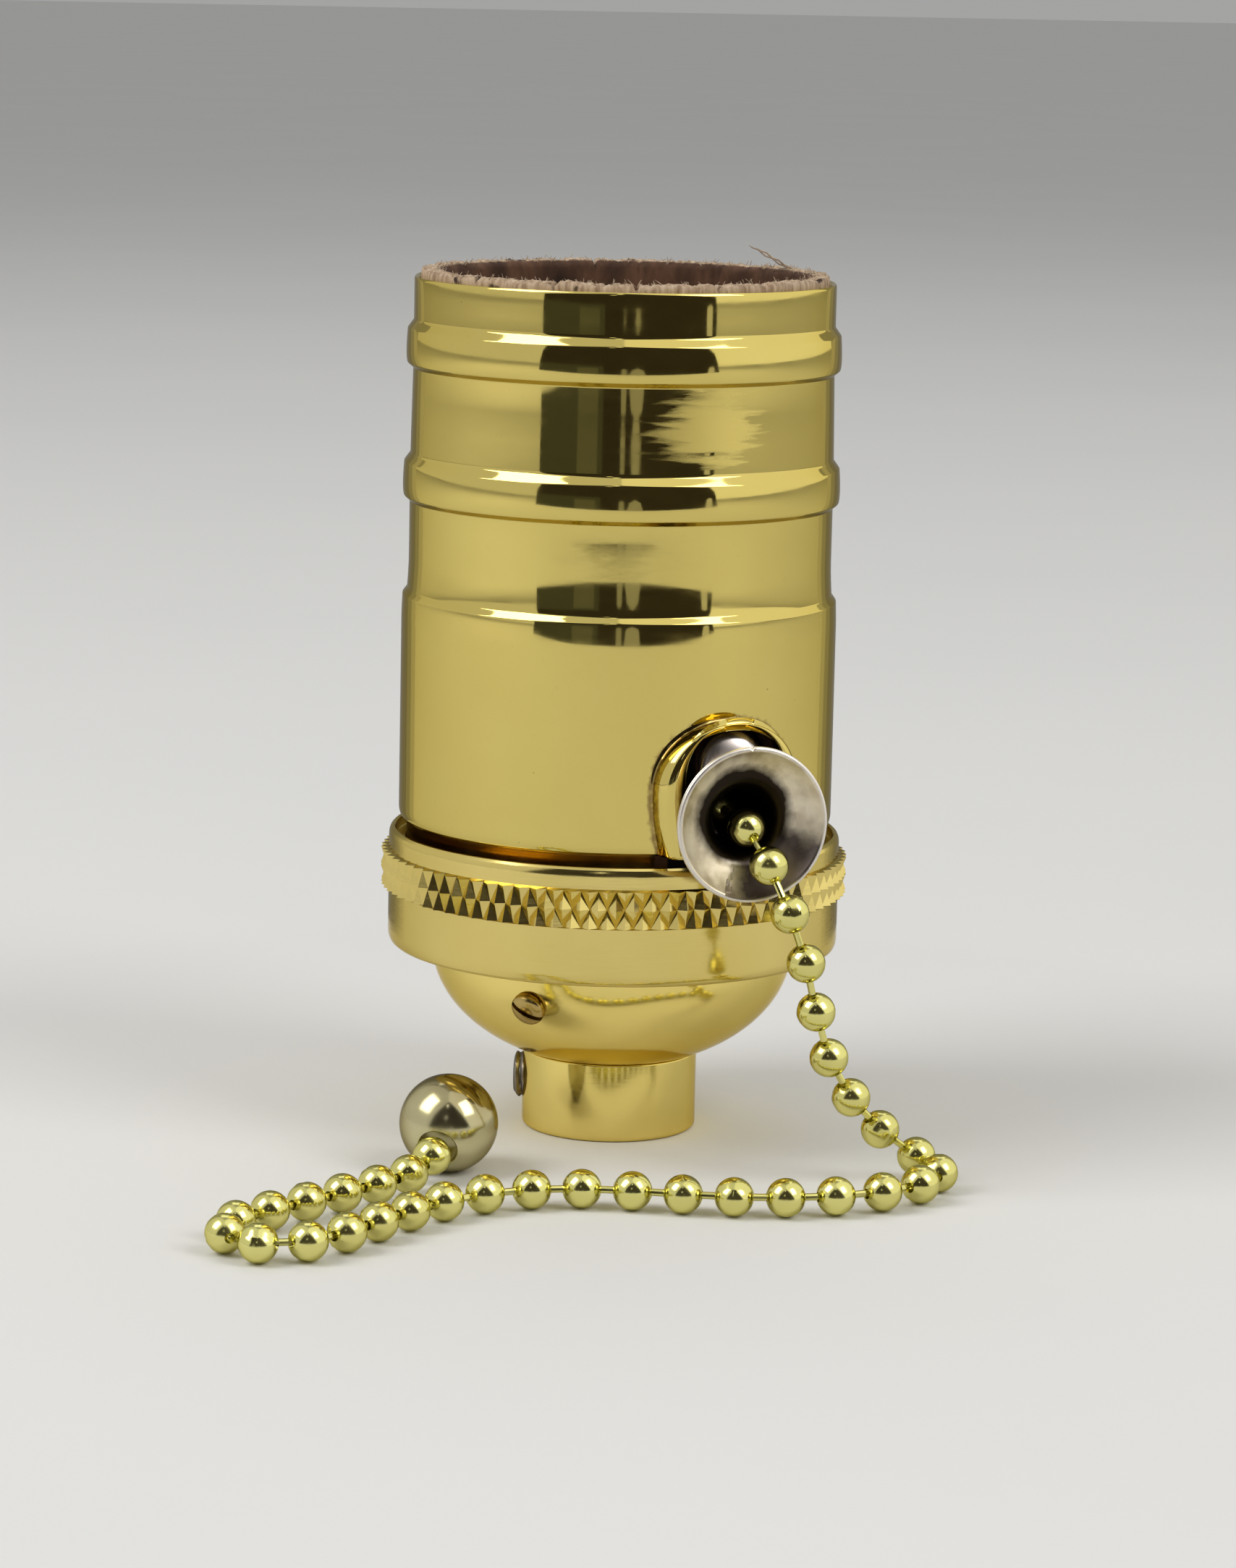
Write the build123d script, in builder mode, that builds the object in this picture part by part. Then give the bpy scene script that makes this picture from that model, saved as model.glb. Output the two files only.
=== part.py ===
from build123d import *
import os
from math import atan, cos, degrees, pi, radians, sin, sqrt, tan

# A pull-chain lampholder that stands on its hub.
# Millimetres, +Z up. The origin is the centre of the hub's bottom face, and the chain is pulled along -Y.

# ---- cap: the threaded hub and the spun dome --------------------------------------------------------
HUB_R = 7.5
HUB_BORE_R = 4.6  # minor radius of the 1/8 pipe thread
SPIGOT_R = 5.9
SPIGOT_RISE = 1.6
DOME_R = 15.5  # horizontal half-axis of the dome's ellipse
DOME_DEPTH = 10.3  # vertical half-axis
DOME_Z = 15.8  # where the dome is widest
CAP_WALL = 0.8
CAP_LAND_R = 7.4  # flat ring of the dome that the hub is staked to
CAP_LAND_Z = DOME_Z - DOME_DEPTH * sqrt(1 - (CAP_LAND_R / DOME_R) ** 2)
CAP_FLANGE_Z = 17.2
CAP_RIM_R = 17.5
CAP_RIM_TOP = 21.2
CAP_LINER_WALL = 0.6
LINER_GAP = 0.05

# ---- knurled collar ---------------------------------------------------------------------------------
COLLAR_Z = 16.0
COLLAR_R = 19.3
COLLAR_TOP = 26.1
COLLAR_MOUTH_R = 18.75
COLLAR_BORE_R = 17.85
KNURL_R = 20.0
KNURL_Z = 20.95
KNURL_TOP = 24.3

# ---- outer shell and its liner ----------------------------------------------------------------------
SHELL_WALL = 0.55
SKIRT_R = 17.8
SKIRT_Z = 22.6
SHELL_LOW_R = 18.5
SHELL_HIGH_R = 17.95
SHELL_Z = 27.0  # lower edge of the full-width body
STEP_Z = 45.85
STEP_TOP = 49.2
SHELL_TOP = 72.9
BEAD_RISE = 0.5
LOWER_BEAD = (54.0, 58.35)
UPPER_BEAD = (65.6, 69.55)
LINER_R = 17.2
LINER_BORE_R = 15.0
LINER_Z = 24.8
LINER_TOP = 73.9

# ---- chain line, the raised boss it leaves through, and its guide -----------------------------------
CHAIN_X = 4.0
CHAIN_Z = 30.4
BALL_R = 1.6  # one ball of No. 6 chain
BALL_PITCH = 4.29
LINK_R = 0.5
BOSS_R = 6.5
BOSS_Z = 32.2
BOSS_REACH = 19.9
BOSS_TURN = 8  # degrees that the boss leans out from the chain line
BOSS_ROOT = 10.0  # where the boss starts, inside the shell
BOSS_EDGE = 0.95  # radius of its rounded rim
MOUTH_R = 4.6
MOUTH_Z = 32.9
GUIDE_RIM_R = 6.3
GUIDE_RIM_Y = 24.2
GUIDE_WALL = 0.45
GUIDE_BORE_R = 2.1
GUIDE_FLARE_Y = 19.0  # where the flare starts
GUIDE_REAR_Y = 16.4
BRACKET_HALF = 3.4
BRACKET_WALL = 0.6
BRACKET_FRONT = 17.6
BRACKET_REAR = 9.5
BRACKET_TOP = 37.2

# ---- lamp socket ------------------------------------------------------------------------------------
SCREW_MINOR_R = 12.35  # E26 holder thread
SCREW_MAJOR_R = 13.15
SCREW_PITCH = 25.4 / 7
SCREW_WALL = 0.45
SCREW_TURNS = 5
SCREW_Z = 45.5
SCREW_LAND_Z = 50.0
SCREW_LAND = 1.0
SCREW_SLOPE = 0.8
INSULATOR_R = 14.7
INSULATOR_Z = 38.0
ISLAND_R = 6.8
ISLAND_TOP = 47.0
ISLAND_GAP = 0.4
CONTACT_WALL = 0.4
CONTACT_TOP = 49.0
CONTACT_HALF = 2.2
CONTACT_RIVET_Y = -4.4
CONTACT_RIVET_R = 0.7
SHELL_RIVET_X = 10.0
SHELL_RIVET_R = 0.9
SHELL_RIVET_LENGTH = 2.4

# ---- switch -----------------------------------------------------------------------------------------
HOUSING_Z = 24.6
HOUSING_FLOOR = 27.0  # height of its inner floor
HOUSING_BORE_R = 12.6
BASE_RING_R = 17.0
BASE_RING_BORE_R = 13.2
SPINDLE_R = 1.0
RUNNING_GAP = 0.05
TRAVEL = 8.0  # one full pull, which turns the lever as far past +X as it rests before it
LEVER_REST = degrees(atan(TRAVEL / 2 / CHAIN_X))  # degrees from +X
LEVER_HUB_R = 2.0
LEVER_Z = CHAIN_Z - 1.8
LEVER_TOP = CHAIN_Z + 1.8
LEVER_REACH = 8.2
LEVER_SLOT = 1.6
RATCHET_Z = 32.5
RATCHET_TOP = 33.9
RATCHET_TIP_R = 4.6
RATCHET_ROOT_R = 3.4
RATCHET_TEETH = 4
RATCHET_FACE = 34  # degrees, the radial face that the drive pawl pushes
ROTOR_R = 5.5
ROTOR_TOP = 36.9
BRIDGE_R = 6.0
STRIP = 0.5
STRIP_HALF = 1.5
STRIP_R = 11.9
BRUSH_R = 6.3
TERMINAL_R = 9.5
TERMINAL_LEG_R = 7.0
NEUTRAL_LEG_R = 8.5
TERMINAL_SCREW_R = 1.3
SCREW_HEAD = 1.6
SCREW_SLOT = 0.7
COLUMN_R = 2.3
COLUMN_PLACE = 7.9
LONG_SCREW_R = 1.25
LONG_SCREW_TOP = 42.5
PAWL_PLACE = 225  # degrees from +X
PAWL_ROOT_R = 9.6
PAWL_GAP = 0.1
GUIDE_RIVET_Y = -7.0
GUIDE_RIVET_R = 0.8
PIN_SOCKET = 1.6

# ---- free chain -------------------------------------------------------------------------------------
CHAIN_EXIT_Y = -18.8
END_BALL_R = 4.1
END_BALL = (-18.1, -13.0, 4.1)
END_BALL_SEAT = 2.3  # from the ball's centre to the bottom of its hole
FLOOR = 1.65  # height of the chain's middle where it lies
CHAIN_ROUTE = [
    (CHAIN_X, CHAIN_EXIT_Y, CHAIN_Z),
    (4.1, -22.3, 30.0),
    (5.0, -25.6, 27.6),
    (6.2, -27.6, 23.8),
    (7.1, -28.3, 19.2),
    (8.2, -28.5, 14.6),
    (9.8, -28.1, 10.4),
    (12.0, -26.8, 6.7),
    (14.6, -25.4, 4.2),
    (18.3, -25.5, 2.5),
    (20.4, -28.3, FLOOR),
    (19.6, -31.9, FLOOR),
    (16.3, -33.8, FLOOR),
    (12.0, -34.5, FLOOR),
    (6.3, -33.6, FLOOR),
    (-1.4, -31.6, FLOOR),
    (-8.6, -27.8, FLOOR),
    (-15.2, -25.9, FLOOR),
    (-22.0, -27.3, FLOOR),
    (-28.4, -31.8, FLOOR),
    (-33.8, -36.2, FLOOR),
    (-38.2, -37.5, FLOOR),
    (-41.7, -35.6, FLOOR),
    (-42.1, -31.8, FLOOR),
    (-39.2, -29.2, FLOOR),
    (-34.6, -26.6, FLOOR),
    (-29.2, -23.4, FLOOR),
    (-24.4, -20.4, FLOOR),
    (-20.8, -17.6, 2.0),
]

# ---- fasteners --------------------------------------------------------------------------------------
SET_SCREW_R = 2.05
SET_SCREW_Z = 4.3
SET_SCREW_TURN = -116  # degrees round from -Y towards +X
DOME_SCREW_Z = 13.0
DOME_SCREW_TURN = -45
DOME_SCREW_HEAD_R = 1.45
DOME_SCREW_R = 1.0

STANDING = (Align.CENTER, Align.CENTER, Align.MIN)
HANGING = (Align.CENTER, Align.CENTER, Align.MAX)

os.makedirs("parts", exist_ok=True)


def save(piece, name):
    """Label one sub-part and write it as its own file."""
    piece.part.label = name
    export_step(piece.part, f"parts/{name}.step")


def upright(angle):
    """A plane through the axis: its x runs outwards at angle degrees from +X, and its y is +Z."""
    turn = radians(angle)
    return Plane(origin=(0, 0, 0), x_dir=(cos(turn), sin(turn), 0), z_dir=(sin(turn), -cos(turn), 0))


def sideways(turn, height, x=0):
    """A plane whose normal points outwards, level, turn degrees round from -Y towards +X."""
    way = (sin(radians(turn)), -cos(radians(turn)), 0)
    return Plane(origin=(x, 0, height), x_dir=(cos(radians(turn)), sin(radians(turn)), 0), z_dir=way)


def columns(z):
    """The places of the housing's two columns, at height z."""
    return [(-COLUMN_PLACE, side * COLUMN_PLACE, z) for side in (1, -1)]


def block(low_r, low_z, high_r, high_z, mode=Mode.ADD):
    """A rectangle of a profile, from its low corner to its high corner."""
    with Locations((low_r, low_z)):
        Rectangle(high_r - low_r, high_z - low_z, align=(Align.MIN, Align.MIN), mode=mode)


def dome_screw_plane():
    """The plane that touches the dome where its screw is, facing out."""
    drop = DOME_SCREW_Z - DOME_Z
    reach = DOME_R * sqrt(1 - (drop / DOME_DEPTH) ** 2)
    turn = radians(DOME_SCREW_TURN)
    out = reach / DOME_R**2
    down = drop / DOME_DEPTH**2
    return Plane(
        origin=(reach * sin(turn), -reach * cos(turn), DOME_SCREW_Z),
        x_dir=(cos(turn), sin(turn), 0),
        z_dir=(out * sin(turn), -out * cos(turn), down),
    )


# ======================================== cap ========================================================


def cap_hub():
    with BuildPart() as hub:
        with BuildSketch(Plane.XZ):
            block(HUB_BORE_R, 0, HUB_R, CAP_LAND_Z)
            block(HUB_BORE_R, CAP_LAND_Z, SPIGOT_R, CAP_LAND_Z + SPIGOT_RISE)
        revolve(axis=Axis.Z)
        fillet(hub.edges().filter_by(GeomType.CIRCLE).group_by(Axis.Z)[0].sort_by(SortBy.RADIUS)[-1], 0.4)
        with BuildSketch(sideways(SET_SCREW_TURN, SET_SCREW_Z)):
            Circle(SET_SCREW_R)
        extrude(amount=HUB_R + 1, mode=Mode.SUBTRACT)
    save(hub, "cap_hub")


def hub_set_screw():
    inner, outer, slot, slot_depth = HUB_BORE_R + 0.6, HUB_R + 1.0, 0.7, 0.8
    with BuildPart() as screw:
        with BuildSketch(sideways(SET_SCREW_TURN, SET_SCREW_Z).offset(inner)):
            Circle(SET_SCREW_R)
        extrude(amount=outer - inner)
        with BuildSketch(sideways(SET_SCREW_TURN, SET_SCREW_Z).offset(outer - slot_depth)):
            Rectangle(slot, 3 * SET_SCREW_R)
        extrude(amount=1, mode=Mode.SUBTRACT)
    save(screw, "hub_set_screw")


def cap_dome():
    inner_r, inner_depth = DOME_R - CAP_WALL, DOME_DEPTH - CAP_WALL
    with BuildPart() as dome:
        with BuildSketch(Plane.XZ):
            with Locations((0, DOME_Z)):
                Ellipse(DOME_R, DOME_DEPTH)
                Ellipse(inner_r, inner_depth, mode=Mode.SUBTRACT)
            block(-DOME_R, 0, SPIGOT_R, 2 * DOME_Z, mode=Mode.SUBTRACT)
            block(0, DOME_Z, DOME_R + 1, 2 * DOME_Z, mode=Mode.SUBTRACT)
            block(0, 0, DOME_R, CAP_LAND_Z, mode=Mode.SUBTRACT)
            block(SPIGOT_R, CAP_LAND_Z, CAP_LAND_R, CAP_LAND_Z + CAP_WALL)
            block(inner_r, DOME_Z, DOME_R, CAP_FLANGE_Z)
            block(inner_r, CAP_FLANGE_Z, CAP_RIM_R, CAP_FLANGE_Z + CAP_WALL)
            block(CAP_RIM_R - CAP_WALL, CAP_FLANGE_Z, CAP_RIM_R, CAP_RIM_TOP)
        revolve(axis=Axis.Z)
        with BuildSketch(dome_screw_plane().offset(-3)):
            Circle(DOME_SCREW_R)
        extrude(amount=4, mode=Mode.SUBTRACT)
    save(dome, "cap_dome")


def cap_liner():
    outer_r = DOME_R - CAP_WALL - LINER_GAP
    outer_depth = DOME_DEPTH - CAP_WALL - LINER_GAP
    hole_r = CAP_LAND_R + 0.6
    with BuildPart() as liner:
        with BuildSketch(Plane.XZ):
            with Locations((0, DOME_Z)):
                Ellipse(outer_r, outer_depth)
                Ellipse(outer_r - CAP_LINER_WALL, outer_depth - CAP_LINER_WALL, mode=Mode.SUBTRACT)
            block(-DOME_R, 0, hole_r, 2 * DOME_Z, mode=Mode.SUBTRACT)
            block(0, DOME_Z, DOME_R, 2 * DOME_Z, mode=Mode.SUBTRACT)
            block(outer_r - CAP_LINER_WALL, DOME_Z, outer_r, CAP_FLANGE_Z + CAP_WALL)
        revolve(axis=Axis.Z)
        with BuildSketch(dome_screw_plane().offset(-4)):
            Circle(DOME_SCREW_R + 0.3)
        extrude(amount=4, mode=Mode.SUBTRACT)
    save(liner, "cap_liner")


def dome_screw():
    head, shank, slot, slot_depth = 1.0, 3.0, 0.5, 0.45
    seat = dome_screw_plane()
    with BuildPart() as screw:
        with BuildSketch(seat):
            Circle(DOME_SCREW_HEAD_R)
        extrude(amount=head)
        with BuildSketch(seat):
            Circle(DOME_SCREW_R)
        extrude(amount=-shank)
        with BuildSketch(seat.offset(head - slot_depth)):
            Rectangle(slot, 3 * DOME_SCREW_HEAD_R)
        extrude(amount=1, mode=Mode.SUBTRACT)
    save(screw, "dome_screw")


def knurled_collar():
    shoulder_r = DOME_R + 0.15
    band, edge, lip = 0.35, 0.7, 1.1
    with BuildPart() as collar:
        with BuildSketch(Plane.XZ):
            with BuildLine():
                Polyline(
                    (shoulder_r, COLLAR_Z),
                    (COLLAR_R - edge, COLLAR_Z),
                    (COLLAR_R, COLLAR_Z + edge),
                    (COLLAR_R, KNURL_Z),
                    (KNURL_R, KNURL_Z + band),
                    (KNURL_R, KNURL_TOP - band),
                    (COLLAR_R, KNURL_TOP),
                    (COLLAR_R, COLLAR_TOP - band),
                    (COLLAR_R - band, COLLAR_TOP),
                    (COLLAR_MOUTH_R, COLLAR_TOP),
                    (COLLAR_MOUTH_R, COLLAR_TOP - lip),
                    (COLLAR_BORE_R, COLLAR_TOP - lip),
                    (COLLAR_BORE_R, CAP_FLANGE_Z),
                    (shoulder_r, CAP_FLANGE_Z),
                    close=True,
                )
            make_face()
        revolve(axis=Axis.Z)
    save(collar, "knurled_collar")


# ======================================== shell ======================================================


def shell_side(inset):
    """The shell's side from the skirt to the top, moved in by inset."""

    def at(r, z):
        return (r - inset, z)

    Polyline(
        at(SKIRT_R, SKIRT_Z),
        at(SKIRT_R, SHELL_Z - 0.7),
        at(SHELL_LOW_R - 0.2, SHELL_Z),
        at(SHELL_LOW_R, SHELL_Z + 0.8),
        at(SHELL_LOW_R, STEP_Z),
        at(SHELL_HIGH_R, STEP_TOP),
        at(SHELL_HIGH_R, LOWER_BEAD[0]),
    )
    for low, high in (LOWER_BEAD, UPPER_BEAD):
        crest = at(SHELL_HIGH_R + BEAD_RISE, (low + high) / 2)
        ThreePointArc(at(SHELL_HIGH_R, low), crest, at(SHELL_HIGH_R, high))
    Line(at(SHELL_HIGH_R, LOWER_BEAD[1]), at(SHELL_HIGH_R, UPPER_BEAD[0]))
    Line(at(SHELL_HIGH_R, UPPER_BEAD[1]), at(SHELL_HIGH_R, SHELL_TOP))


def mouth_slot():
    """The round-topped slot that the guide leaves through, open at its lower end."""
    with Locations((0, MOUTH_Z)):
        Circle(MOUTH_R)
        Rectangle(2 * MOUTH_R, MOUTH_Z, align=(Align.CENTER, Align.MAX))


def outer_shell():
    boss = sideways(BOSS_TURN, 0, CHAIN_X - BOSS_REACH * sin(radians(BOSS_TURN)))
    front = BOSS_REACH - SHELL_WALL
    with BuildPart() as shell:
        with BuildSketch(Plane.XZ):
            with BuildLine():
                shell_side(0)
                Line((SHELL_HIGH_R, SHELL_TOP), (0, SHELL_TOP))
                Line((0, SHELL_TOP), (0, SKIRT_Z))
                Line((0, SKIRT_Z), (SKIRT_R, SKIRT_Z))
            make_face()
        revolve(axis=Axis.Z)
        with BuildSketch(boss.offset(BOSS_ROOT)):
            with Locations((0, BOSS_Z)):
                Circle(BOSS_R)
            block(-BOSS_R, 0, BOSS_R, SHELL_Z, mode=Mode.SUBTRACT)
        extrude(amount=BOSS_REACH - BOSS_ROOT)
        rim = shell.faces().sort_by(Axis.Y)[0].edges().filter_by(GeomType.CIRCLE)
        fillet(rim, BOSS_EDGE)
        with BuildSketch(Plane.XZ):
            with BuildLine():
                shell_side(SHELL_WALL)
                Line((SHELL_HIGH_R - SHELL_WALL, SHELL_TOP), (SHELL_HIGH_R - SHELL_WALL, SHELL_TOP + 1))
                Line((SHELL_HIGH_R - SHELL_WALL, SHELL_TOP + 1), (0, SHELL_TOP + 1))
                Line((0, SHELL_TOP + 1), (0, SKIRT_Z - 1))
                Line((0, SKIRT_Z - 1), (SKIRT_R - SHELL_WALL, SKIRT_Z - 1))
                Line((SKIRT_R - SHELL_WALL, SKIRT_Z - 1), (SKIRT_R - SHELL_WALL, SKIRT_Z))
            make_face()
        revolve(axis=Axis.Z, mode=Mode.SUBTRACT)
        with BuildSketch(boss.offset(BOSS_ROOT)):
            with Locations((0, BOSS_Z)):
                Circle(BOSS_R - SHELL_WALL)
            block(-BOSS_R, 0, BOSS_R, SHELL_Z, mode=Mode.SUBTRACT)
        extrude(amount=front - BOSS_ROOT, mode=Mode.SUBTRACT)
        with BuildSketch(boss.offset(BOSS_ROOT)):
            mouth_slot()
        extrude(amount=BOSS_REACH, mode=Mode.SUBTRACT)
    save(shell, "outer_shell")


def insulating_liner():
    line = Plane(origin=(CHAIN_X, 0, 0), x_dir=(1, 0, 0), z_dir=(0, -1, 0))
    with BuildPart() as liner:
        with BuildSketch(Plane.XZ):
            block(LINER_BORE_R, LINER_Z, LINER_R, LINER_TOP)
        revolve(axis=Axis.Z)
        with BuildSketch(line):
            mouth_slot()
        extrude(amount=LINER_R + 1, mode=Mode.SUBTRACT)
    save(liner, "insulating_liner")


# ======================================== lamp socket ================================================


def thread_side(inset):
    """Points up the screw shell's wall: lands at the minor radius, with sloped grooves between."""
    points = [(SCREW_MINOR_R + inset, SCREW_LAND_Z)]
    for turn in range(SCREW_TURNS):
        z = SCREW_LAND_Z + turn * SCREW_PITCH + SCREW_LAND
        groove_top = SCREW_LAND_Z + (turn + 1) * SCREW_PITCH
        points.append((SCREW_MINOR_R + inset, z))
        points.append((SCREW_MAJOR_R + inset, z + SCREW_SLOPE))
        points.append((SCREW_MAJOR_R + inset, groove_top - SCREW_SLOPE))
        points.append((SCREW_MINOR_R + inset, groove_top))
    points.append((SCREW_MINOR_R + inset, SCREW_LAND_Z + SCREW_TURNS * SCREW_PITCH + SCREW_LAND))
    return points


def screw_shell():
    skirt_r = SCREW_MINOR_R + 0.3
    skirt_top = SCREW_LAND_Z - 0.8
    floor = SCREW_Z + SCREW_WALL
    with BuildPart() as thread:
        with BuildSketch(Plane.XZ):
            with BuildLine():
                Polyline(
                    (ISLAND_R + ISLAND_GAP, SCREW_Z),
                    (skirt_r + SCREW_WALL, SCREW_Z),
                    (skirt_r + SCREW_WALL, skirt_top),
                    *thread_side(SCREW_WALL),
                    *reversed(thread_side(0)),
                    (skirt_r, skirt_top),
                    (skirt_r, floor),
                    (ISLAND_R + ISLAND_GAP, floor),
                    close=True,
                )
            make_face()
        revolve(axis=Axis.Z)
        with BuildSketch(Plane.XY):
            with Locations((-SHELL_RIVET_X, 0), (SHELL_RIVET_X, 0)):
                Circle(SHELL_RIVET_R)
        extrude(amount=SCREW_LAND_Z, mode=Mode.SUBTRACT)
    save(thread, "screw_shell")


def screw_shell_rivets():
    floor = SCREW_Z + SCREW_WALL
    with BuildPart() as rivets:
        with Locations((-SHELL_RIVET_X, 0, floor), (SHELL_RIVET_X, 0, floor)):
            Cylinder(1.5, 0.6, align=STANDING)
            Cylinder(SHELL_RIVET_R, SHELL_RIVET_LENGTH, align=HANGING)
    save(rivets, "screw_shell_rivets")


def lamp_insulator():
    with BuildPart() as block_part:
        with BuildSketch(Plane.XZ):
            block(0, INSULATOR_Z, INSULATOR_R, SCREW_Z)
            block(0, INSULATOR_Z, ISLAND_R, ISLAND_TOP)
        revolve(axis=Axis.Z)
        with Locations((0, 0, INSULATOR_Z)):
            Cylinder(SPINDLE_R, PIN_SOCKET, align=STANDING, mode=Mode.SUBTRACT)
        with Locations(*columns(INSULATOR_Z)):
            Cylinder(LONG_SCREW_R, LONG_SCREW_TOP - INSULATOR_Z, align=STANDING, mode=Mode.SUBTRACT)
        with Locations((-SHELL_RIVET_X, 0, SCREW_Z), (SHELL_RIVET_X, 0, SCREW_Z)):
            Cylinder(SHELL_RIVET_R, SHELL_RIVET_LENGTH - SCREW_WALL, align=HANGING, mode=Mode.SUBTRACT)
        with Locations((0, CONTACT_RIVET_Y, ISLAND_TOP)):
            Cylinder(CONTACT_RIVET_R, 3, align=HANGING, mode=Mode.SUBTRACT)
        with BuildSketch(upright(270)):
            block(BRUSH_R, 0, BRUSH_R + STRIP, ISLAND_TOP + 1)
        extrude(amount=STRIP_HALF, both=True, mode=Mode.SUBTRACT)
        with BuildSketch(upright(180)):
            block(STRIP_R, 0, STRIP_R + STRIP, ISLAND_TOP)
            block(NEUTRAL_LEG_R, SCREW_Z - STRIP, STRIP_R + STRIP, SCREW_Z + 1)
        extrude(amount=STRIP_HALF, both=True, mode=Mode.SUBTRACT)
    save(block_part, "lamp_insulator")


def center_contact():
    with BuildPart() as contact:
        with BuildSketch(upright(270)):
            with BuildLine():
                Polyline(
                    (ISLAND_R, ISLAND_TOP),
                    (ISLAND_R, ISLAND_TOP + CONTACT_WALL),
                    (2.2, ISLAND_TOP + CONTACT_WALL),
                    (0.2, CONTACT_TOP),
                    (-3.4, CONTACT_TOP),
                    (-3.4, CONTACT_TOP - CONTACT_WALL),
                    (0, CONTACT_TOP - CONTACT_WALL),
                    (2.0, ISLAND_TOP),
                    close=True,
                )
            make_face()
        extrude(amount=CONTACT_HALF, both=True)
        with Locations((0, 1.4, CONTACT_TOP)):
            Cylinder(1.3, 0.4, align=STANDING)
        with Locations((0, CONTACT_RIVET_Y, ISLAND_TOP)):
            Cylinder(CONTACT_RIVET_R, 3, mode=Mode.SUBTRACT)
    save(contact, "center_contact")


def center_contact_rivet():
    seat = ISLAND_TOP + CONTACT_WALL
    with BuildPart() as rivet:
        with Locations((0, CONTACT_RIVET_Y, seat)):
            Cylinder(1.2, 0.6, align=STANDING)
            Cylinder(CONTACT_RIVET_R, 3, align=HANGING)
    save(rivet, "center_contact_rivet")


# ======================================== switch =====================================================


def switch_housing():
    with BuildPart() as housing:
        with BuildSketch(Plane.XZ):
            block(0, HOUSING_Z, INSULATOR_R, HOUSING_FLOOR)
            block(HOUSING_BORE_R, HOUSING_Z, INSULATOR_R, INSULATOR_Z)
            block(BASE_RING_BORE_R, CAP_RIM_TOP, BASE_RING_R, LINER_Z)
        revolve(axis=Axis.Z)
        with Locations(*columns(HOUSING_FLOOR)):
            Cylinder(COLUMN_R, INSULATOR_Z - HOUSING_FLOOR, align=STANDING)
        with Locations(*columns(0)):
            Cylinder(LONG_SCREW_R, 3 * INSULATOR_Z, mode=Mode.SUBTRACT)
        with Locations((0, 0, HOUSING_FLOOR)):
            Cylinder(SPINDLE_R, PIN_SOCKET, align=HANGING, mode=Mode.SUBTRACT)
        with Locations((0, TERMINAL_R, HOUSING_Z), (-TERMINAL_R, 0, HOUSING_Z)):
            Cylinder(TERMINAL_SCREW_R, 2, align=STANDING, mode=Mode.SUBTRACT)
        with Locations((CHAIN_X, GUIDE_RIVET_Y, HOUSING_FLOOR)):
            Cylinder(GUIDE_RIVET_R, 1.8, align=HANGING, mode=Mode.SUBTRACT)
        with BuildSketch(Plane.XZ.offset(BRACKET_REAR)):
            block(CHAIN_X - BRACKET_HALF, HOUSING_FLOOR, CHAIN_X + BRACKET_HALF, INSULATOR_Z)
        extrude(amount=BASE_RING_R, mode=Mode.SUBTRACT)
        for angle in (90, 180):
            with BuildSketch(upright(angle)):
                block(STRIP_R, HOUSING_Z, STRIP_R + STRIP, HOUSING_FLOOR)
            extrude(amount=STRIP_HALF, both=True, mode=Mode.SUBTRACT)
        with BuildSketch(upright(PAWL_PLACE)):
            block(COLUMN_PLACE, RATCHET_Z + PAWL_GAP, PAWL_ROOT_R, RATCHET_TOP - PAWL_GAP)
        extrude(amount=STRIP / 2, both=True, mode=Mode.SUBTRACT)
    save(housing, "switch_housing")


def housing_screws():
    with BuildPart() as screws:
        with Locations(*columns(HOUSING_Z)):
            Cylinder(LONG_SCREW_R, LONG_SCREW_TOP - HOUSING_Z, align=STANDING)
            Cylinder(1.9, SCREW_HEAD, align=HANGING)
        with Locations(*columns(HOUSING_Z - SCREW_HEAD)):
            Box(6, SCREW_SLOT, 1.4, mode=Mode.SUBTRACT)
    save(screws, "housing_screws")


def spindle():
    low = HOUSING_FLOOR - PIN_SOCKET
    with BuildPart() as pin:
        with Locations((0, 0, low)):
            Cylinder(SPINDLE_R, INSULATOR_Z + PIN_SOCKET - low, align=STANDING)
    save(pin, "spindle")


def return_spring():
    radius, wire, pitch, turns = 2.3, 0.22, 0.5, 2
    with BuildPart() as spring:
        with BuildLine():
            coil = Helix(pitch, pitch * turns, radius, center=(0, 0, HOUSING_FLOOR + 0.3))
        with BuildSketch(Plane(origin=coil @ 0, z_dir=coil % 0)):
            Circle(wire)
        sweep(path=coil)
    save(spring, "return_spring")


def pull_lever():
    with BuildPart() as lever:
        with Locations((0, 0, LEVER_Z)):
            Cylinder(LEVER_HUB_R, LEVER_TOP - LEVER_Z, align=STANDING)
        with BuildSketch(upright(LEVER_REST)):
            block(0, LEVER_Z, LEVER_REACH, LEVER_TOP)
            block(3.2, CHAIN_Z - LEVER_SLOT / 2, LEVER_REACH, CHAIN_Z + LEVER_SLOT / 2, mode=Mode.SUBTRACT)
        extrude(amount=0.5, both=True)
        Cylinder(SPINDLE_R + RUNNING_GAP, 100, mode=Mode.SUBTRACT)
    save(lever, "pull_lever")


def drive_pawl():
    tip_r, root_r, outer_r = 4.0, 5.4, 7.4
    high = RATCHET_Z + 1.2
    with BuildPart() as pawl:
        with BuildSketch(upright(LEVER_REST)):
            block(root_r, LEVER_TOP, outer_r, high)
            block(tip_r, RATCHET_Z + PAWL_GAP, outer_r, high)
        extrude(amount=0.4, both=True)
    save(pawl, "drive_pawl")


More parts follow.
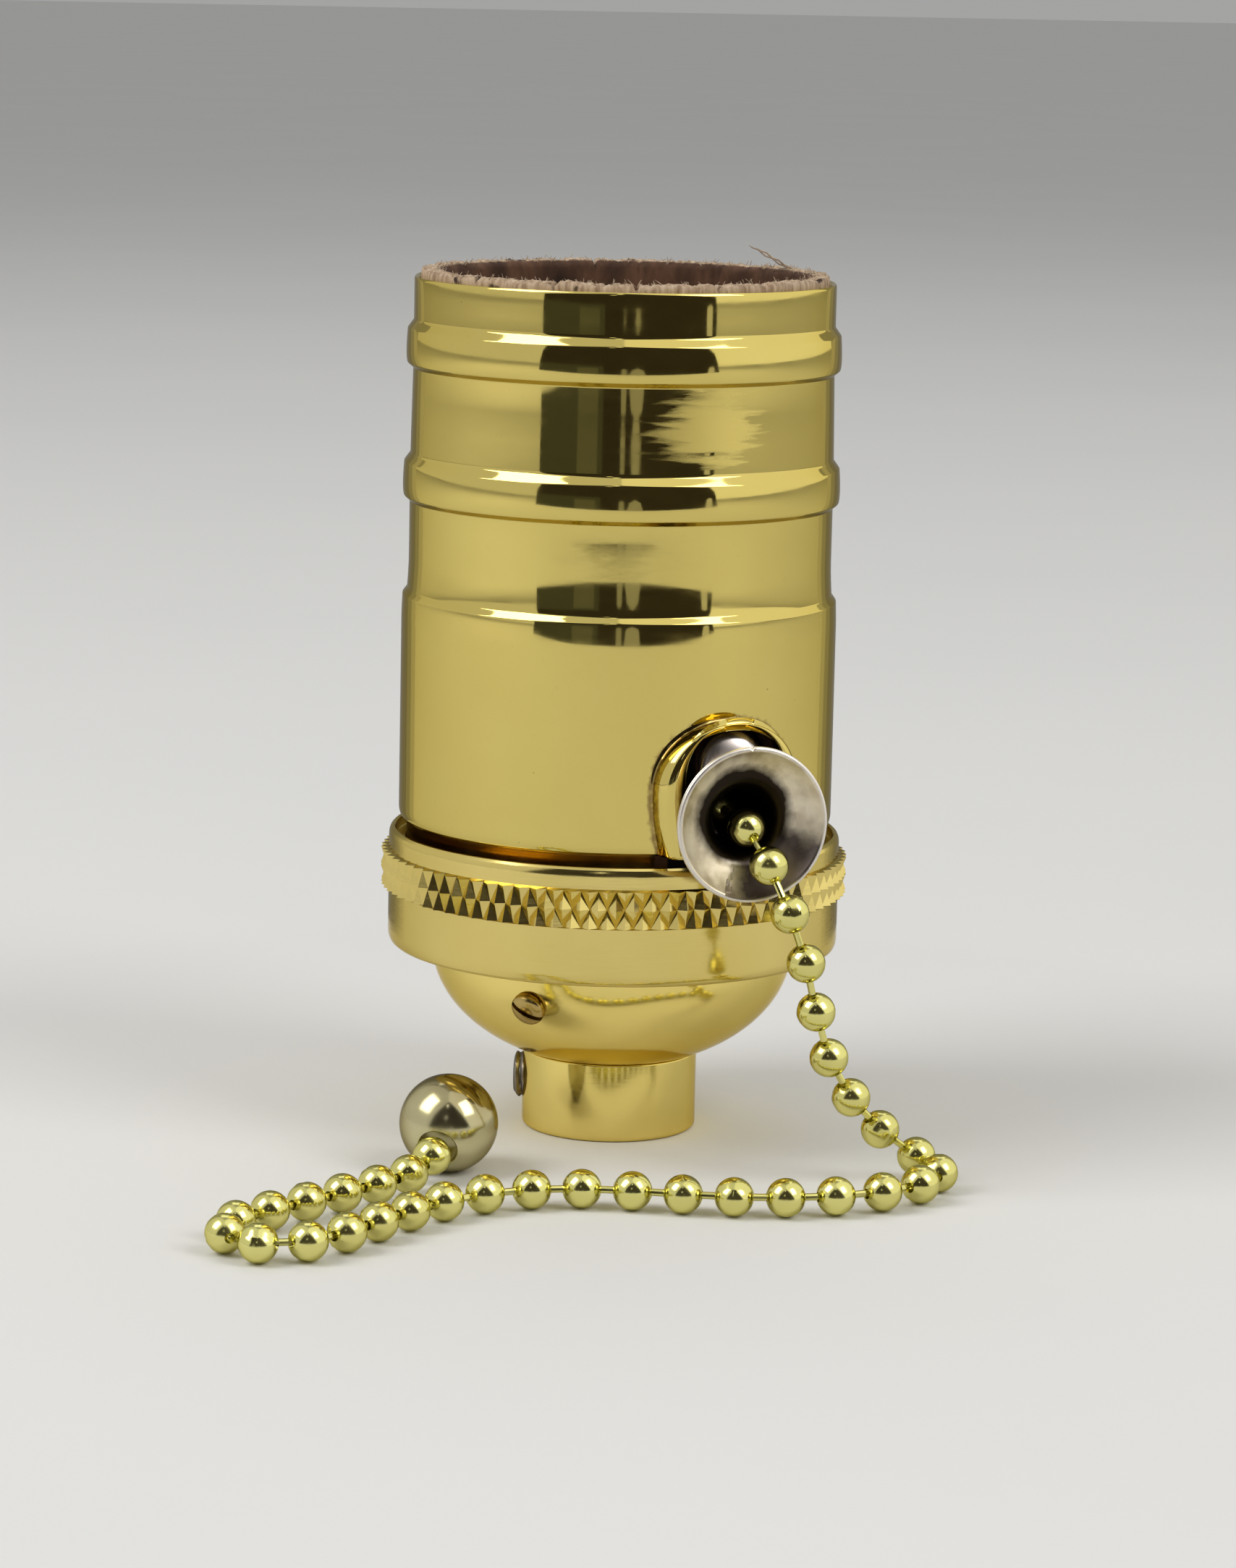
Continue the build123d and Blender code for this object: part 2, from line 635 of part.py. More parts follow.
def ratchet_wheel():
    step = 360 / RATCHET_TEETH
    outline = []
    for tooth in range(RATCHET_TEETH):
        face = radians(RATCHET_FACE + tooth * step)
        outline.append((RATCHET_TIP_R * cos(face), RATCHET_TIP_R * sin(face)))
        outline.append((RATCHET_ROOT_R * cos(face), RATCHET_ROOT_R * sin(face)))
        half_way = face + radians(step / 2)
        middle_r = (RATCHET_TIP_R + RATCHET_ROOT_R) / 2
        outline.append((middle_r * cos(half_way), middle_r * sin(half_way)))
    with BuildPart() as wheel:
        with BuildSketch(Plane.XY.offset(RATCHET_Z)):
            with BuildLine():
                Polyline(*outline, close=True)
            make_face()
            Circle(SPINDLE_R + RUNNING_GAP, mode=Mode.SUBTRACT)
        extrude(amount=RATCHET_TOP - RATCHET_Z)
    save(wheel, "ratchet_wheel")


def stop_pawl():
    with BuildPart() as pawl:
        with BuildSketch(upright(PAWL_PLACE)):
            block(RATCHET_TIP_R + 0.35, RATCHET_Z + PAWL_GAP, PAWL_ROOT_R, RATCHET_TOP - PAWL_GAP)
        extrude(amount=STRIP / 2, both=True)
    save(pawl, "stop_pawl")


def switch_rotor():
    with BuildPart() as rotor:
        with BuildSketch(Plane.XY.offset(RATCHET_TOP)):
            Circle(ROTOR_R)
            Circle(SPINDLE_R + RUNNING_GAP, mode=Mode.SUBTRACT)
        extrude(amount=ROTOR_TOP - RATCHET_TOP)
    save(rotor, "switch_rotor")


def rotor_bridge():
    tip_z = RATCHET_TOP + 0.8
    with BuildPart() as bridge:
        with BuildSketch(Plane.XZ):
            block(SPINDLE_R + RUNNING_GAP, ROTOR_TOP, BRIDGE_R, ROTOR_TOP + 0.4)
            block(ROTOR_R, tip_z, BRIDGE_R, ROTOR_TOP)
        revolve(axis=Axis.Z)
        for side in (1, -1):
            with Locations((0, side * STRIP_HALF, tip_z)):
                side_align = Align.MIN if side > 0 else Align.MAX
                Box(20, 20, 10, align=(Align.CENTER, side_align, Align.MIN), mode=Mode.SUBTRACT)
    save(bridge, "rotor_bridge")


def line_contact():
    low = HOUSING_Z - STRIP
    high = INSULATOR_Z - 0.4
    with BuildPart() as contact:
        with BuildSketch(upright(90)):
            block(BRUSH_R, RATCHET_TOP + 0.7, BRUSH_R + STRIP, high)
            block(BRUSH_R, high - STRIP, STRIP_R + STRIP, high)
            block(STRIP_R, low, STRIP_R + STRIP, high)
            block(TERMINAL_LEG_R, low, STRIP_R + STRIP, HOUSING_Z)
        extrude(amount=STRIP_HALF, both=True)
        with Locations((0, TERMINAL_R, HOUSING_Z)):
            Cylinder(TERMINAL_SCREW_R, 3, mode=Mode.SUBTRACT)
    save(contact, "line_contact")


def load_contact():
    with BuildPart() as contact:
        with BuildSketch(upright(270)):
            block(BRUSH_R, RATCHET_TOP + 0.7, BRUSH_R + STRIP, ISLAND_TOP)
        extrude(amount=STRIP_HALF, both=True)
    save(contact, "load_contact")


def neutral_terminal():
    low = HOUSING_Z - STRIP
    with BuildPart() as terminal:
        with BuildSketch(upright(180)):
            block(STRIP_R, low, STRIP_R + STRIP, SCREW_Z)
            block(NEUTRAL_LEG_R, SCREW_Z - STRIP, STRIP_R + STRIP, SCREW_Z)
            block(TERMINAL_LEG_R, low, STRIP_R + STRIP, HOUSING_Z)
        extrude(amount=STRIP_HALF, both=True)
        with Locations((-TERMINAL_R, 0, HOUSING_Z)):
            Cylinder(TERMINAL_SCREW_R, 3, mode=Mode.SUBTRACT)
        with Locations((-SHELL_RIVET_X, 0, SCREW_Z)):
            Cylinder(SHELL_RIVET_R, 3, mode=Mode.SUBTRACT)
    save(terminal, "neutral_terminal")


def terminal_screw(x, y, name):
    seat = HOUSING_Z - STRIP
    with BuildPart() as screw:
        with Locations((x, y, seat)):
            Cylinder(TERMINAL_SCREW_R, 2 + STRIP, align=STANDING)
            Cylinder(2.5, SCREW_HEAD, align=HANGING)
        with Locations((x, y, seat - SCREW_HEAD)):
            Box(6, SCREW_SLOT, 1.4, mode=Mode.SUBTRACT)
    save(screw, name)


# ======================================== chain guide ================================================


def guide_outline(inset):
    """The bracket's front view: a round-topped tongue about the chain line."""
    half = BRACKET_HALF - inset
    round_z = BRACKET_TOP - BRACKET_HALF
    low = HOUSING_FLOOR + inset
    with Locations((CHAIN_X, round_z)):
        Circle(half)
        Rectangle(2 * half, round_z - low, align=(Align.CENTER, Align.MAX))


def guide_bracket():
    with BuildPart() as bracket:
        with BuildSketch(Plane.XZ.offset(BRACKET_REAR)):
            guide_outline(0)
        extrude(amount=BRACKET_FRONT - BRACKET_REAR)
        fillet(bracket.faces().sort_by(Axis.Y)[0].edges(), 1.6)
        with BuildSketch(Plane.XZ.offset(BRACKET_REAR)):
            guide_outline(BRACKET_WALL)
        extrude(amount=BRACKET_FRONT - BRACKET_REAR - BRACKET_WALL, mode=Mode.SUBTRACT)
        with BuildSketch(Plane.XZ.offset(BRACKET_REAR)):
            with Locations((CHAIN_X, CHAIN_Z)):
                Circle(GUIDE_BORE_R + GUIDE_WALL)
        extrude(amount=BRACKET_FRONT, mode=Mode.SUBTRACT)
        with Locations((CHAIN_X, -BRACKET_REAR, HOUSING_FLOOR)):
            Box(4, 4.5, BRACKET_WALL, align=(Align.CENTER, Align.MIN, Align.MIN))
        with Locations((CHAIN_X, GUIDE_RIVET_Y, HOUSING_FLOOR)):
            Cylinder(GUIDE_RIVET_R, 3, mode=Mode.SUBTRACT)
    save(bracket, "guide_bracket")


def guide_rivet():
    seat = HOUSING_FLOOR + BRACKET_WALL
    with BuildPart() as rivet:
        with Locations((CHAIN_X, GUIDE_RIVET_Y, seat)):
            Cylinder(1.3, 0.5, align=STANDING)
            Cylinder(GUIDE_RIVET_R, 2.4, align=HANGING)
    save(rivet, "guide_rivet")


def chain_guide():
    """A bell-mouthed tube: a flanged shank in the bracket and a flare of a quarter ellipse in front."""
    rise = GUIDE_RIM_R - GUIDE_WALL / 2 - GUIDE_BORE_R
    length = GUIDE_RIM_Y - GUIDE_FLARE_Y
    lip = (GUIDE_BORE_R + rise, GUIDE_FLARE_Y)
    flange = GUIDE_BORE_R + GUIDE_WALL + 0.2
    bracket_back = BRACKET_FRONT - BRACKET_WALL
    # in this plane x is the distance up from the chain line and y runs along -Y
    with BuildPart() as guide:
        with BuildSketch(Plane(origin=(CHAIN_X, 0, CHAIN_Z), x_dir=(0, 0, 1), z_dir=(1, 0, 0))):
            with BuildLine():
                inner = EllipticalCenterArc(lip, rise, length, start_angle=180, arc_size=-90)
                outer = EllipticalCenterArc(
                    lip, rise - GUIDE_WALL, length - GUIDE_WALL, start_angle=180, arc_size=-90
                )
                ThreePointArc(inner @ 1, (GUIDE_RIM_R, GUIDE_RIM_Y - GUIDE_WALL / 2), outer @ 1)
                Polyline(
                    inner @ 0,
                    (GUIDE_BORE_R, GUIDE_REAR_Y),
                    (flange, GUIDE_REAR_Y),
                    (flange, bracket_back),
                    (GUIDE_BORE_R + GUIDE_WALL, bracket_back),
                    outer @ 0,
                )
            make_face()
        revolve(axis=Axis((CHAIN_X, 0, CHAIN_Z), (0, 1, 0)))
    save(guide, "chain_guide")


# ======================================== chain ======================================================


def chain_draw_end():
    """The chain in the holder: a stop ball behind the lever's fork, a link and the balls in the guide."""
    stop_y, first_y, balls = 7.4, 0.5, 5
    ball_y = [stop_y] + [first_y - BALL_PITCH * k for k in range(balls)]
    with BuildPart() as chain:
        with Locations(Location((CHAIN_X, stop_y, CHAIN_Z), (90, 0, 0))):
            Cylinder(LINK_R, stop_y - CHAIN_EXIT_Y, align=STANDING)
        with Locations(*[(CHAIN_X, y, CHAIN_Z) for y in ball_y]):
            Sphere(BALL_R)
    save(chain, "chain_draw_end")


def chain_points():
    """The route, ended at the bottom of the end ball's hole."""
    last = Vector(*CHAIN_ROUTE[-1])
    way = (Vector(*END_BALL) - last).normalized()
    seat = Vector(*END_BALL) - way * END_BALL_SEAT
    return [Vector(*point) for point in CHAIN_ROUTE] + [seat]


def corner_radii(points):
    """Each corner's arc: 0.45 of the shorter run, over the tangent of half the turn."""
    radii = []
    for before, here, after in zip(points, points[1:], points[2:]):
        turn = (here - before).get_angle(after - here)
        shorter = min((here - before).length, (after - here).length)
        radii.append(0.45 * shorter / tan(radians(turn / 2)))
    return radii


def pull_chain():
    points = chain_points()
    radii = corner_radii(points)
    with BuildPart() as chain:
        with BuildLine():
            route = FilletPolyline(*points, radius=radii)
        with BuildSketch(Plane(origin=route @ 0, z_dir=route % 0)):
            Circle(BALL_R)
        sweep(path=route)
    print("chain: radii", [round(radius, 1) for radius in radii])
    print("chain: length", round(route.length, 1))
    section = pi * BALL_R**2
    print("chain: volume over section times length", round(chain.part.volume / section / route.length, 4))
    save(chain, "pull_chain")


def end_ball():
    points = chain_points()
    way = (points[-2] - points[-1]).normalized()
    with BuildPart() as ball:
        with Locations(END_BALL):
            Sphere(END_BALL_R)
        with BuildSketch(Plane(origin=points[-1], z_dir=way)):
            Circle(BALL_R + RUNNING_GAP)
        extrude(amount=END_BALL_R, mode=Mode.SUBTRACT)
    save(ball, "end_ball")


cap_hub()
hub_set_screw()
cap_dome()
cap_liner()
dome_screw()
knurled_collar()
outer_shell()
insulating_liner()
screw_shell()
screw_shell_rivets()
lamp_insulator()
center_contact()
center_contact_rivet()
switch_housing()
housing_screws()
spindle()
return_spring()
pull_lever()
drive_pawl()
ratchet_wheel()
stop_pawl()
switch_rotor()
rotor_bridge()
line_contact()
load_contact()
neutral_terminal()
terminal_screw(0, TERMINAL_R, "line_terminal_screw")
terminal_screw(-TERMINAL_R, 0, "neutral_terminal_screw")
guide_bracket()
guide_rivet()
chain_guide()
chain_draw_end()
pull_chain()
end_ball()
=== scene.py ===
import random
from bisect import bisect
from math import asin, atan2, ceil, cos, pi, radians, sin, sqrt

import bpy
from mathutils import Matrix, Vector, noise


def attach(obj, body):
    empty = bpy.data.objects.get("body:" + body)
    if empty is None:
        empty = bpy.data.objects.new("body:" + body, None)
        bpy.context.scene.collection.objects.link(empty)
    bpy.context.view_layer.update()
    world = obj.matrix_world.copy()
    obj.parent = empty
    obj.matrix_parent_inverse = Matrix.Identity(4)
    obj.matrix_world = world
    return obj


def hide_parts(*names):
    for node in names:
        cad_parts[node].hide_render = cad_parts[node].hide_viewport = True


# Looks for the pull-chain lampholder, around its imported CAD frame. Everything is in metres, +Z up, with the
# origin under the hub and the chain pulled along -Y. Angles named turn run from -Y towards +X.

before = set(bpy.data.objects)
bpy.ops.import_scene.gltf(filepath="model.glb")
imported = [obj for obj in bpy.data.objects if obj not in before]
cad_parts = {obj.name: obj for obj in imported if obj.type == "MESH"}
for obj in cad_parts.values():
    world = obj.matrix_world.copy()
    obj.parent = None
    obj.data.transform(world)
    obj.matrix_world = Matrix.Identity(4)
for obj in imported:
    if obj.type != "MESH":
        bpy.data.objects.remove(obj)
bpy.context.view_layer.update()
MM = 0.001


def mm(points):
    """Points written in millimetres, in metres."""
    return [tuple(value * MM for value in point) for point in points]


# ================ shared sizes ================

CHAIN_X = 4.0 * MM
CHAIN_Z = 30.4 * MM
CHAIN_EXIT_Y = -18.8 * MM
BALL_R = 1.6 * MM
# along the free chain from its start to its first ball, and from its last ball to the end ball's middle
FIRST_BALL = 3.2 * MM
LAST_BALL = 5.0 * MM
BALLS = 34
BUNCHING = 0.056
LINK_R = 0.3 * MM
END_BALL_R = 4.1 * MM
END_BALL = Vector((-0.0181, -0.0130, 0.0041))
END_BALL_SEAT = 2.3 * MM
CHAIN_ROUTE = [(CHAIN_X, CHAIN_EXIT_Y, CHAIN_Z)] + mm([
    (4.1, -22.3, 30.0), (4.9, -25.2, 27.6), (6.3, -26.9, 23.8),
    (7.9, -27.2, 19.2), (8.9, -26.9, 14.9), (10.3, -26.4, 10.9), (12.6, -25.9, 7.4),
    (15.2, -25.3, 4.8), (17.4, -24.8, 3.0), (19.0, -25.1, 2.0), (19.8, -26.6, 1.65),
    (19.5, -28.7, 1.65), (18.1, -30.7, 1.65), (15.8, -32.5, 1.65), (12.7, -33.6, 1.65),
    (8.4, -34.0, 1.65), (3.6, -33.4, 1.65), (-1.4, -31.6, 1.65), (-7.9, -28.0, 1.65),
    (-13.6, -25.9, 1.65), (-21.0, -26.9, 1.65), (-27.4, -31.2, 1.65), (-33.6, -36.2, 1.65),
    (-37.6, -37.6, 1.65), (-40.7, -36.4, 1.65), (-42.0, -33.6, 1.65), (-41.2, -30.7, 1.65),
    (-38.4, -28.5, 1.65), (-34.6, -26.4, 1.65), (-29.2, -23.4, 1.65), (-24.4, -20.6, 1.65),
    (-20.9, -17.7, 2.0),
])

CAMERA_TURN = radians(-18)
CAMERA_REACH = 0.391
CAMERA_HEIGHT = 0.098
CAMERA_PITCH = radians(9.9)
CAMERA_ROLL = radians(1.22)
CAMERA_YAW = radians(0.035)
CAMERA_LENS = 106.3


def around(turn, r, z):
    """The point at radius r and height z, turn radians round from -Y towards +X."""
    return Vector((r * sin(turn), -r * cos(turn), z))


def ease(t):
    """0 to 1 with level ends."""
    t = min(max(t, 0.0), 1.0)
    return t * t * (3 - 2 * t)


def off_turn(turn, other):
    """How far apart two turns are, at most half a turn."""
    return abs((turn - other + pi) % (2 * pi) - pi)


def arc(x, z, wide, high, start, end, steps):
    """Points of an ellipse's outline about (x, z), from one angle to another."""
    angles = [start + (end - start) * k / steps for k in range(steps + 1)]
    return [(x + wide * cos(a), z + high * sin(a)) for a in angles]


# ================ stage ================


def show(thing):
    bpy.context.scene.collection.objects.link(thing)


def camera():
    data = bpy.data.cameras.new("camera")
    data.lens = CAMERA_LENS
    data.sensor_width = 36
    data.clip_start = 0.01
    eye = bpy.data.objects.new("camera", data)
    ahead = -around(CAMERA_TURN, cos(CAMERA_PITCH), sin(CAMERA_PITCH))
    ahead += around(CAMERA_TURN + pi / 2, sin(CAMERA_YAW), 0)
    ahead.normalize()
    right = ahead.cross(Vector((0, 0, 1))).normalized()
    up = right.cross(ahead)
    side = right * cos(CAMERA_ROLL) + up * sin(CAMERA_ROLL)
    top = up * cos(CAMERA_ROLL) - right * sin(CAMERA_ROLL)
    turned = Matrix((side, top, -ahead)).transposed().to_4x4()
    eye.matrix_world = Matrix.Translation(around(CAMERA_TURN, CAMERA_REACH, CAMERA_HEIGHT)) @ turned
    show(eye)
    bpy.context.scene.camera = eye


def softbox(name, turn, height, reach, size, brightness, warmth=1.0):
    """A soft light aimed at the object, with its turn from the camera's and its height in degrees. brightness
    is its radiance next to white paper."""
    data = bpy.data.lights.new(name, "AREA")
    data.shape = "RECTANGLE"
    data.size, data.size_y = size
    data.energy = brightness * pi * size[0] * size[1]
    data.color = (1, 0.5 + 0.5 * warmth, warmth)
    box = bpy.data.objects.new(name, data)
    rise = radians(height)
    box.location = around(CAMERA_TURN + radians(turn), reach * cos(rise), reach * sin(rise))
    box.rotation_euler = (Vector((0, 0, 0.03)) - box.location).to_track_quat("-Z", "Y").to_euler()
    box.visible_camera = False
    show(box)


def studio():
    softbox("key_light", -69, 46, 1.0, (0.5, 0.62), 4.6, 0.98)
    softbox("fill_light", 57, 42, 1.0, (0.42, 0.55), 3.9, 0.99)
    softbox("back_light", 175, 55, 1.2, (0.8, 0.5), 1.0)
    world = bpy.data.worlds.new("studio")
    world.use_nodes = True
    feed(world.node_tree.nodes["Background"], {"Color": (0.37, 0.37, 0.365)})
    bpy.context.scene.world = world
    bpy.context.scene.view_settings.view_transform = "Standard"


def sheet(name, points, faces, finish):
    """A mesh object of one material, in the scene."""
    mesh = bpy.data.meshes.new(name)
    mesh.from_pydata(points, [], faces)
    mesh.materials.append(finish)
    made = bpy.data.objects.new(name, mesh)
    show(made)
    return made


def card(name, points, faces, brightness, tone):
    """Something round the object that has an even tone of its own and shows only in reflections."""
    made, _, shader = material(name)
    feed(shader, {"Base Color": (0, 0, 0), "Specular IOR Level": 0})
    feed(shader, {"Emission Color": tone, "Emission Strength": brightness})
    board = sheet(name, points, faces, made)
    board.visible_camera = False
    board.visible_diffuse = False
    board.visible_shadow = False
    board.visible_transmission = False


def curtain(name, reach, turns, heights, brightness):
    """A curved wall round the object, between two turns and two heights, both in degrees as seen from it."""
    columns, rows = 24, 14
    arcs = []
    for row in range(rows + 1):
        rise = radians(heights[0] + (heights[1] - heights[0]) * row / rows)
        across = [turns[0] + (turns[1] - turns[0]) * k / columns for k in range(columns + 1)]
        arcs.append([around(CAMERA_TURN + radians(a), reach * cos(rise), reach * sin(rise)) for a in across])
    build = skin(arcs, wrap=False)
    card(name, build.points, build.faces, brightness, (1, 0.995, 0.96))


def tent():
    """The white light tent, open at the back, where a grey wall stands."""
    far, tent_heights = 1.7, (-1, 89)
    curtain("tent_left", far, (-141, 0), tent_heights, 0.72)
    curtain("tent_right", far, (0, 141), tent_heights, 1.08)
    near, wall_heights = 0.085, (1, 62)
    curtain("back_wall", near, (136, 224), wall_heights, 0.27)
    for side in (-1, 1):
        curtain(f"wall_edge_{side + 1}", near, (side * 129, side * 136), wall_heights, 0.38)
        curtain(f"wall_fade_{side + 1}", near, (side * 123, side * 129), wall_heights, 0.55)


def flag(name, reach, outline, brightness, tone=(1, 1, 1)):
    """A flat card in front of the object. outline is in metres across and up, seen from the object."""
    foot = around(CAMERA_TURN, reach, 0)
    across = around(CAMERA_TURN + pi / 2, 1, 0)
    points = [foot + across * x + Vector((0, 0, z)) for x, z in outline]
    card(name, points, [tuple(range(len(points)))], brightness, tone)


def tent_mouth():
    """The dark opening that the camera looks through, with the few pale things in it."""
    opening = [(-0.43, 0), (0.53, 0), (0.51, 0.055), (0.34, 0.27), (0.18, 0.51), (0.0, 0.86)]
    opening += [(-0.17, 0.51), (-0.32, 0.27), (-0.42, 0.055)]
    flag("opening", 0.44, opening, 0.035, (1, 0.85, 0.7))
    left = [(-0.42, 0), (-0.08, 0), (-0.08, 0.05), (-0.41, 0.05)]
    flag("opening_left", 0.436, left, 0.065, (0.98, 1, 0.9))
    upright = [(-0.19, 0), (-0.10, 0), (-0.10, 0.0415), (-0.19, 0.0415)]
    flag("opening_frame", 0.432, upright, 0.12, (0.98, 1, 0.86))
    small_spire = [(-0.01, 0), (0.012, 0), (0.010, 0.038), (0.0, 0.041), (-0.008, 0.038)]
    flag("small_spire", 0.43, small_spire, 0.30)
    spire = [(0.02, 0), (0.085, 0), (0.075, 0.034), (0.056, 0.0435), (0.048, 0.0435), (0.03, 0.034)]
    flag("spire", 0.43, spire, 0.34)
    flag("bottle", 0.43, [(0.41, 0), (0.47, 0), (0.465, 0.038), (0.445, 0.0425), (0.42, 0.038)], 0.6)
    flag("low_lamp", 0.42, arc(-0.046, 0.20, 0.0135, 0.036, 0, 2 * pi, 16)[:-1], 1.6)
    flag("high_lamp", 0.42, arc(-0.025, 0.56, 0.019, 0.085, 0, 2 * pi, 16)[:-1], 2.6)


def floor():
    half = 12.0
    corners = [(-half, -half, 0), (half, -half, 0), (half, half, 0), (-half, half, 0)]
    sheet("floor", corners, [(0, 1, 2, 3)], paper())


# ================ materials ================
# Apart from add_node and relief, the helpers that take a tree return the socket of what they work out.


def material(name):
    made = bpy.data.materials.new(name)
    made.use_nodes = True
    return made, made.node_tree, made.node_tree.nodes["Principled BSDF"]


def feed(node, inputs):
    """Fill a node's inputs: a socket is linked, anything else is set as a value."""
    for name, value in inputs.items():
        slot = node.inputs[name]
        if isinstance(value, bpy.types.NodeSocket):
            node.id_data.links.new(value, slot)
        else:
            slot.default_value = (*value, 1) if slot.type == "RGBA" else value


def add_node(tree, kind, inputs, **settings):
    """A new shader node, with its settings and its inputs."""
    node = tree.nodes.new("ShaderNode" + kind)
    for name, value in settings.items():
        setattr(node, name, value)
    feed(node, inputs)
    return node


def in_object(tree):
    """Places in the object's own space, as a socket."""
    return add_node(tree, "TexCoord", {}).outputs["Object"]


def vector(tree, how, source, other=(0, 0, 0)):
    """A vector or a number worked out from a vector."""
    node = add_node(tree, "VectorMath", {0: source, 1: other}, operation=how)
    return node.outputs["Value" if how in ("LENGTH", "DISTANCE", "DOT_PRODUCT") else "Vector"]


def grain(tree, scale, detail, stretch=(1, 1, 1)):
    """Noise in the object's own space, stretched along its axes."""
    fit = add_node(tree, "Mapping", {"Vector": in_object(tree), "Scale": stretch})
    cloud = {"Vector": fit.outputs[0], "Scale": scale, "Detail": detail}
    return add_node(tree, "TexNoise", cloud).outputs["Fac"]


def tint(tree, source, stops):
    """A colour ramp over a value: stops are (place, colour)."""
    ramp = add_node(tree, "ValToRGB", {0: source})
    steps = ramp.color_ramp.elements
    while len(steps) < len(stops):
        steps.new(0.5)
    for step, (place, colour) in zip(steps, stops):
        step.position = place
        step.color = (*colour, 1)
    return ramp.outputs[0]


def span(tree, source, low, high, start=0.3, end=0.7):
    """A value from low to high as the source goes from start to end."""
    ends = {"From Min": start, "From Max": end, "To Min": low, "To Max": high}
    return add_node(tree, "MapRange", {"Value": source, **ends}).outputs[0]


def blend(tree, first, second, share):
    """A colour that goes from the first to the second as share goes from 0 to 1."""
    return add_node(tree, "MixRGB", {"Fac": share, "Color1": first, "Color2": second}).outputs[0]


def sums(tree, first, second, how="ADD"):
    """Two values combined."""
    return add_node(tree, "Math", {0: first, 1: second}, operation=how).outputs[0]


def relief(tree, shader, layers):
    """Bumps on the shader: layers are (value socket, height in metres)."""
    below = {}
    for source, height in layers:
        bump = add_node(tree, "Bump", {"Strength": 1, "Distance": height, "Height": source, **below})
        below = {"Normal": bump.outputs[0]}
    feed(shader, below)


def metal(name, bright, dull, gloss, stretch=(1, 1, 1), pits=0.0, waves=6e-6):
    """A metal that drifts from a bright to a dull tint. gloss is its roughness from clean to handled, stretch
    draws the finish out along its direction of working, and pits is how much of it is speckled."""
    made, tree, shader = material(name)
    cloud = grain(tree, 90, 3)
    smear = grain(tree, 420, 6, stretch)
    colour = tint(tree, cloud, [(0.32, bright), (0.68, dull)])
    rough = span(tree, smear, *gloss)
    if pits:
        speck = span(tree, grain(tree, 1500, 2), 0.0, 1.0, 0.80 - pits, 0.86 - pits)
        colour = blend(tree, colour, tuple(value * 0.35 for value in dull), speck)
        rough = sums(tree, rough, sums(tree, speck, 0.4, "MULTIPLY"))
    # at a glancing angle the surface darkens before it turns white
    edge = tuple(0.4 + 0.5 * value for value in dull)
    feed(shader, {"Base Color": colour, "Roughness": rough, "Metallic": 1, "Specular Tint": edge})
    relief(tree, shader, [(cloud, waves * 4), (smear, waves)])
    return made


def paint_crease_shade(made):
    """Brown painted shade, with some tarnish, on a metal where the mesh's crease attribute is high."""
    tree = made.node_tree
    shader = tree.nodes["Principled BSDF"]
    mark = add_node(tree, "Attribute", {}, attribute_name="crease_shade")
    # darker in the creases: painted shade, with some tarnish
    crease_dark = sums(tree, mark.outputs["Fac"], span(tree, grain(tree, 2200, 4), -0.3, 0.3))
    crease_dark = span(tree, crease_dark, 0.0, 0.85, 0.25, 1.0)
    clean = shader.inputs["Base Color"].links[0].from_socket
    feed(shader, {"Base Color": blend(tree, clean, (0.20, 0.125, 0.045), crease_dark)})


def scuff(made, centre, size):
    """Streaky fine scratches on a metal, round centre and as far as size along each axis."""
    tree = made.node_tree
    shader = tree.nodes["Principled BSDF"]
    away = vector(tree, "SUBTRACT", in_object(tree), centre)
    reach = vector(tree, "LENGTH", vector(tree, "DIVIDE", away, size))
    streaks = span(tree, grain(tree, 700, 5, (0.3, 0.3, 2.6)), -0.42, 0.42)
    mask = span(tree, sums(tree, reach, streaks), 1.0, 0.0, 0.45, 1.0)
    clean = shader.inputs["Roughness"].links[0].from_socket
    feed(shader, {"Roughness": sums(tree, clean, sums(tree, mask, 0.42, "MULTIPLY"))})


def plastic(name, light, dark, gloss, height):
    """A moulded or pressed insulating material."""
    made, tree, shader = material(name)
    cloud = grain(tree, 500, 6)
    fine = grain(tree, 2600, 4)
    colour = tint(tree, cloud, [(0.35, light), (0.65, dark)])
    feed(shader, {"Base Color": colour, "Roughness": span(tree, fine, *gloss)})
    relief(tree, shader, [(cloud, height), (fine, height / 2)])
    return made


def fibre():
    """Vulcanised fibre: dark brown, with a pale torn rim and dark pits in it."""
    made, tree, shader = material("fibre_board")
    cloud = grain(tree, 380, 6, (1, 1, 0.5))
    threads = grain(tree, 2200, 5, (1, 1, 0.15))
    browns = [(0.3, (0.035, 0.018, 0.010)), (0.5, (0.085, 0.040, 0.022)), (0.75, (0.20, 0.10, 0.055))]
    pales = [(0.3, (0.26, 0.165, 0.10)), (0.5, (0.48, 0.345, 0.225)), (0.72, (0.66, 0.52, 0.37))]
    height = add_node(tree, "SeparateXYZ", {0: in_object(tree)}).outputs["Z"]
    reach = vector(tree, "LENGTH", vector(tree, "MULTIPLY", in_object(tree), (1, 1, 0)))
    # the pale part reaches lower on the outside than on the inside
    wear = sums(tree, height, span(tree, reach, -0.0009, 0.0006, 0.0153, 0.0172))
    torn = span(tree, wear, 0.0, 1.0, 0.07275, 0.07315)
    pits = span(tree, grain(tree, 620, 3, (1, 1, 0.7)), 0.0, 1.0, 0.60, 0.66)
    pale = blend(tree, tint(tree, threads, pales), (0.045, 0.025, 0.015), pits)
    feed(shader, {"Base Color": blend(tree, tint(tree, cloud, browns), pale, torn)})
    feed(shader, {"Roughness": 0.92, "Specular IOR Level": 0.25})
    relief(tree, shader, [(cloud, 1.2e-4), (threads, 9e-5)])
    return made


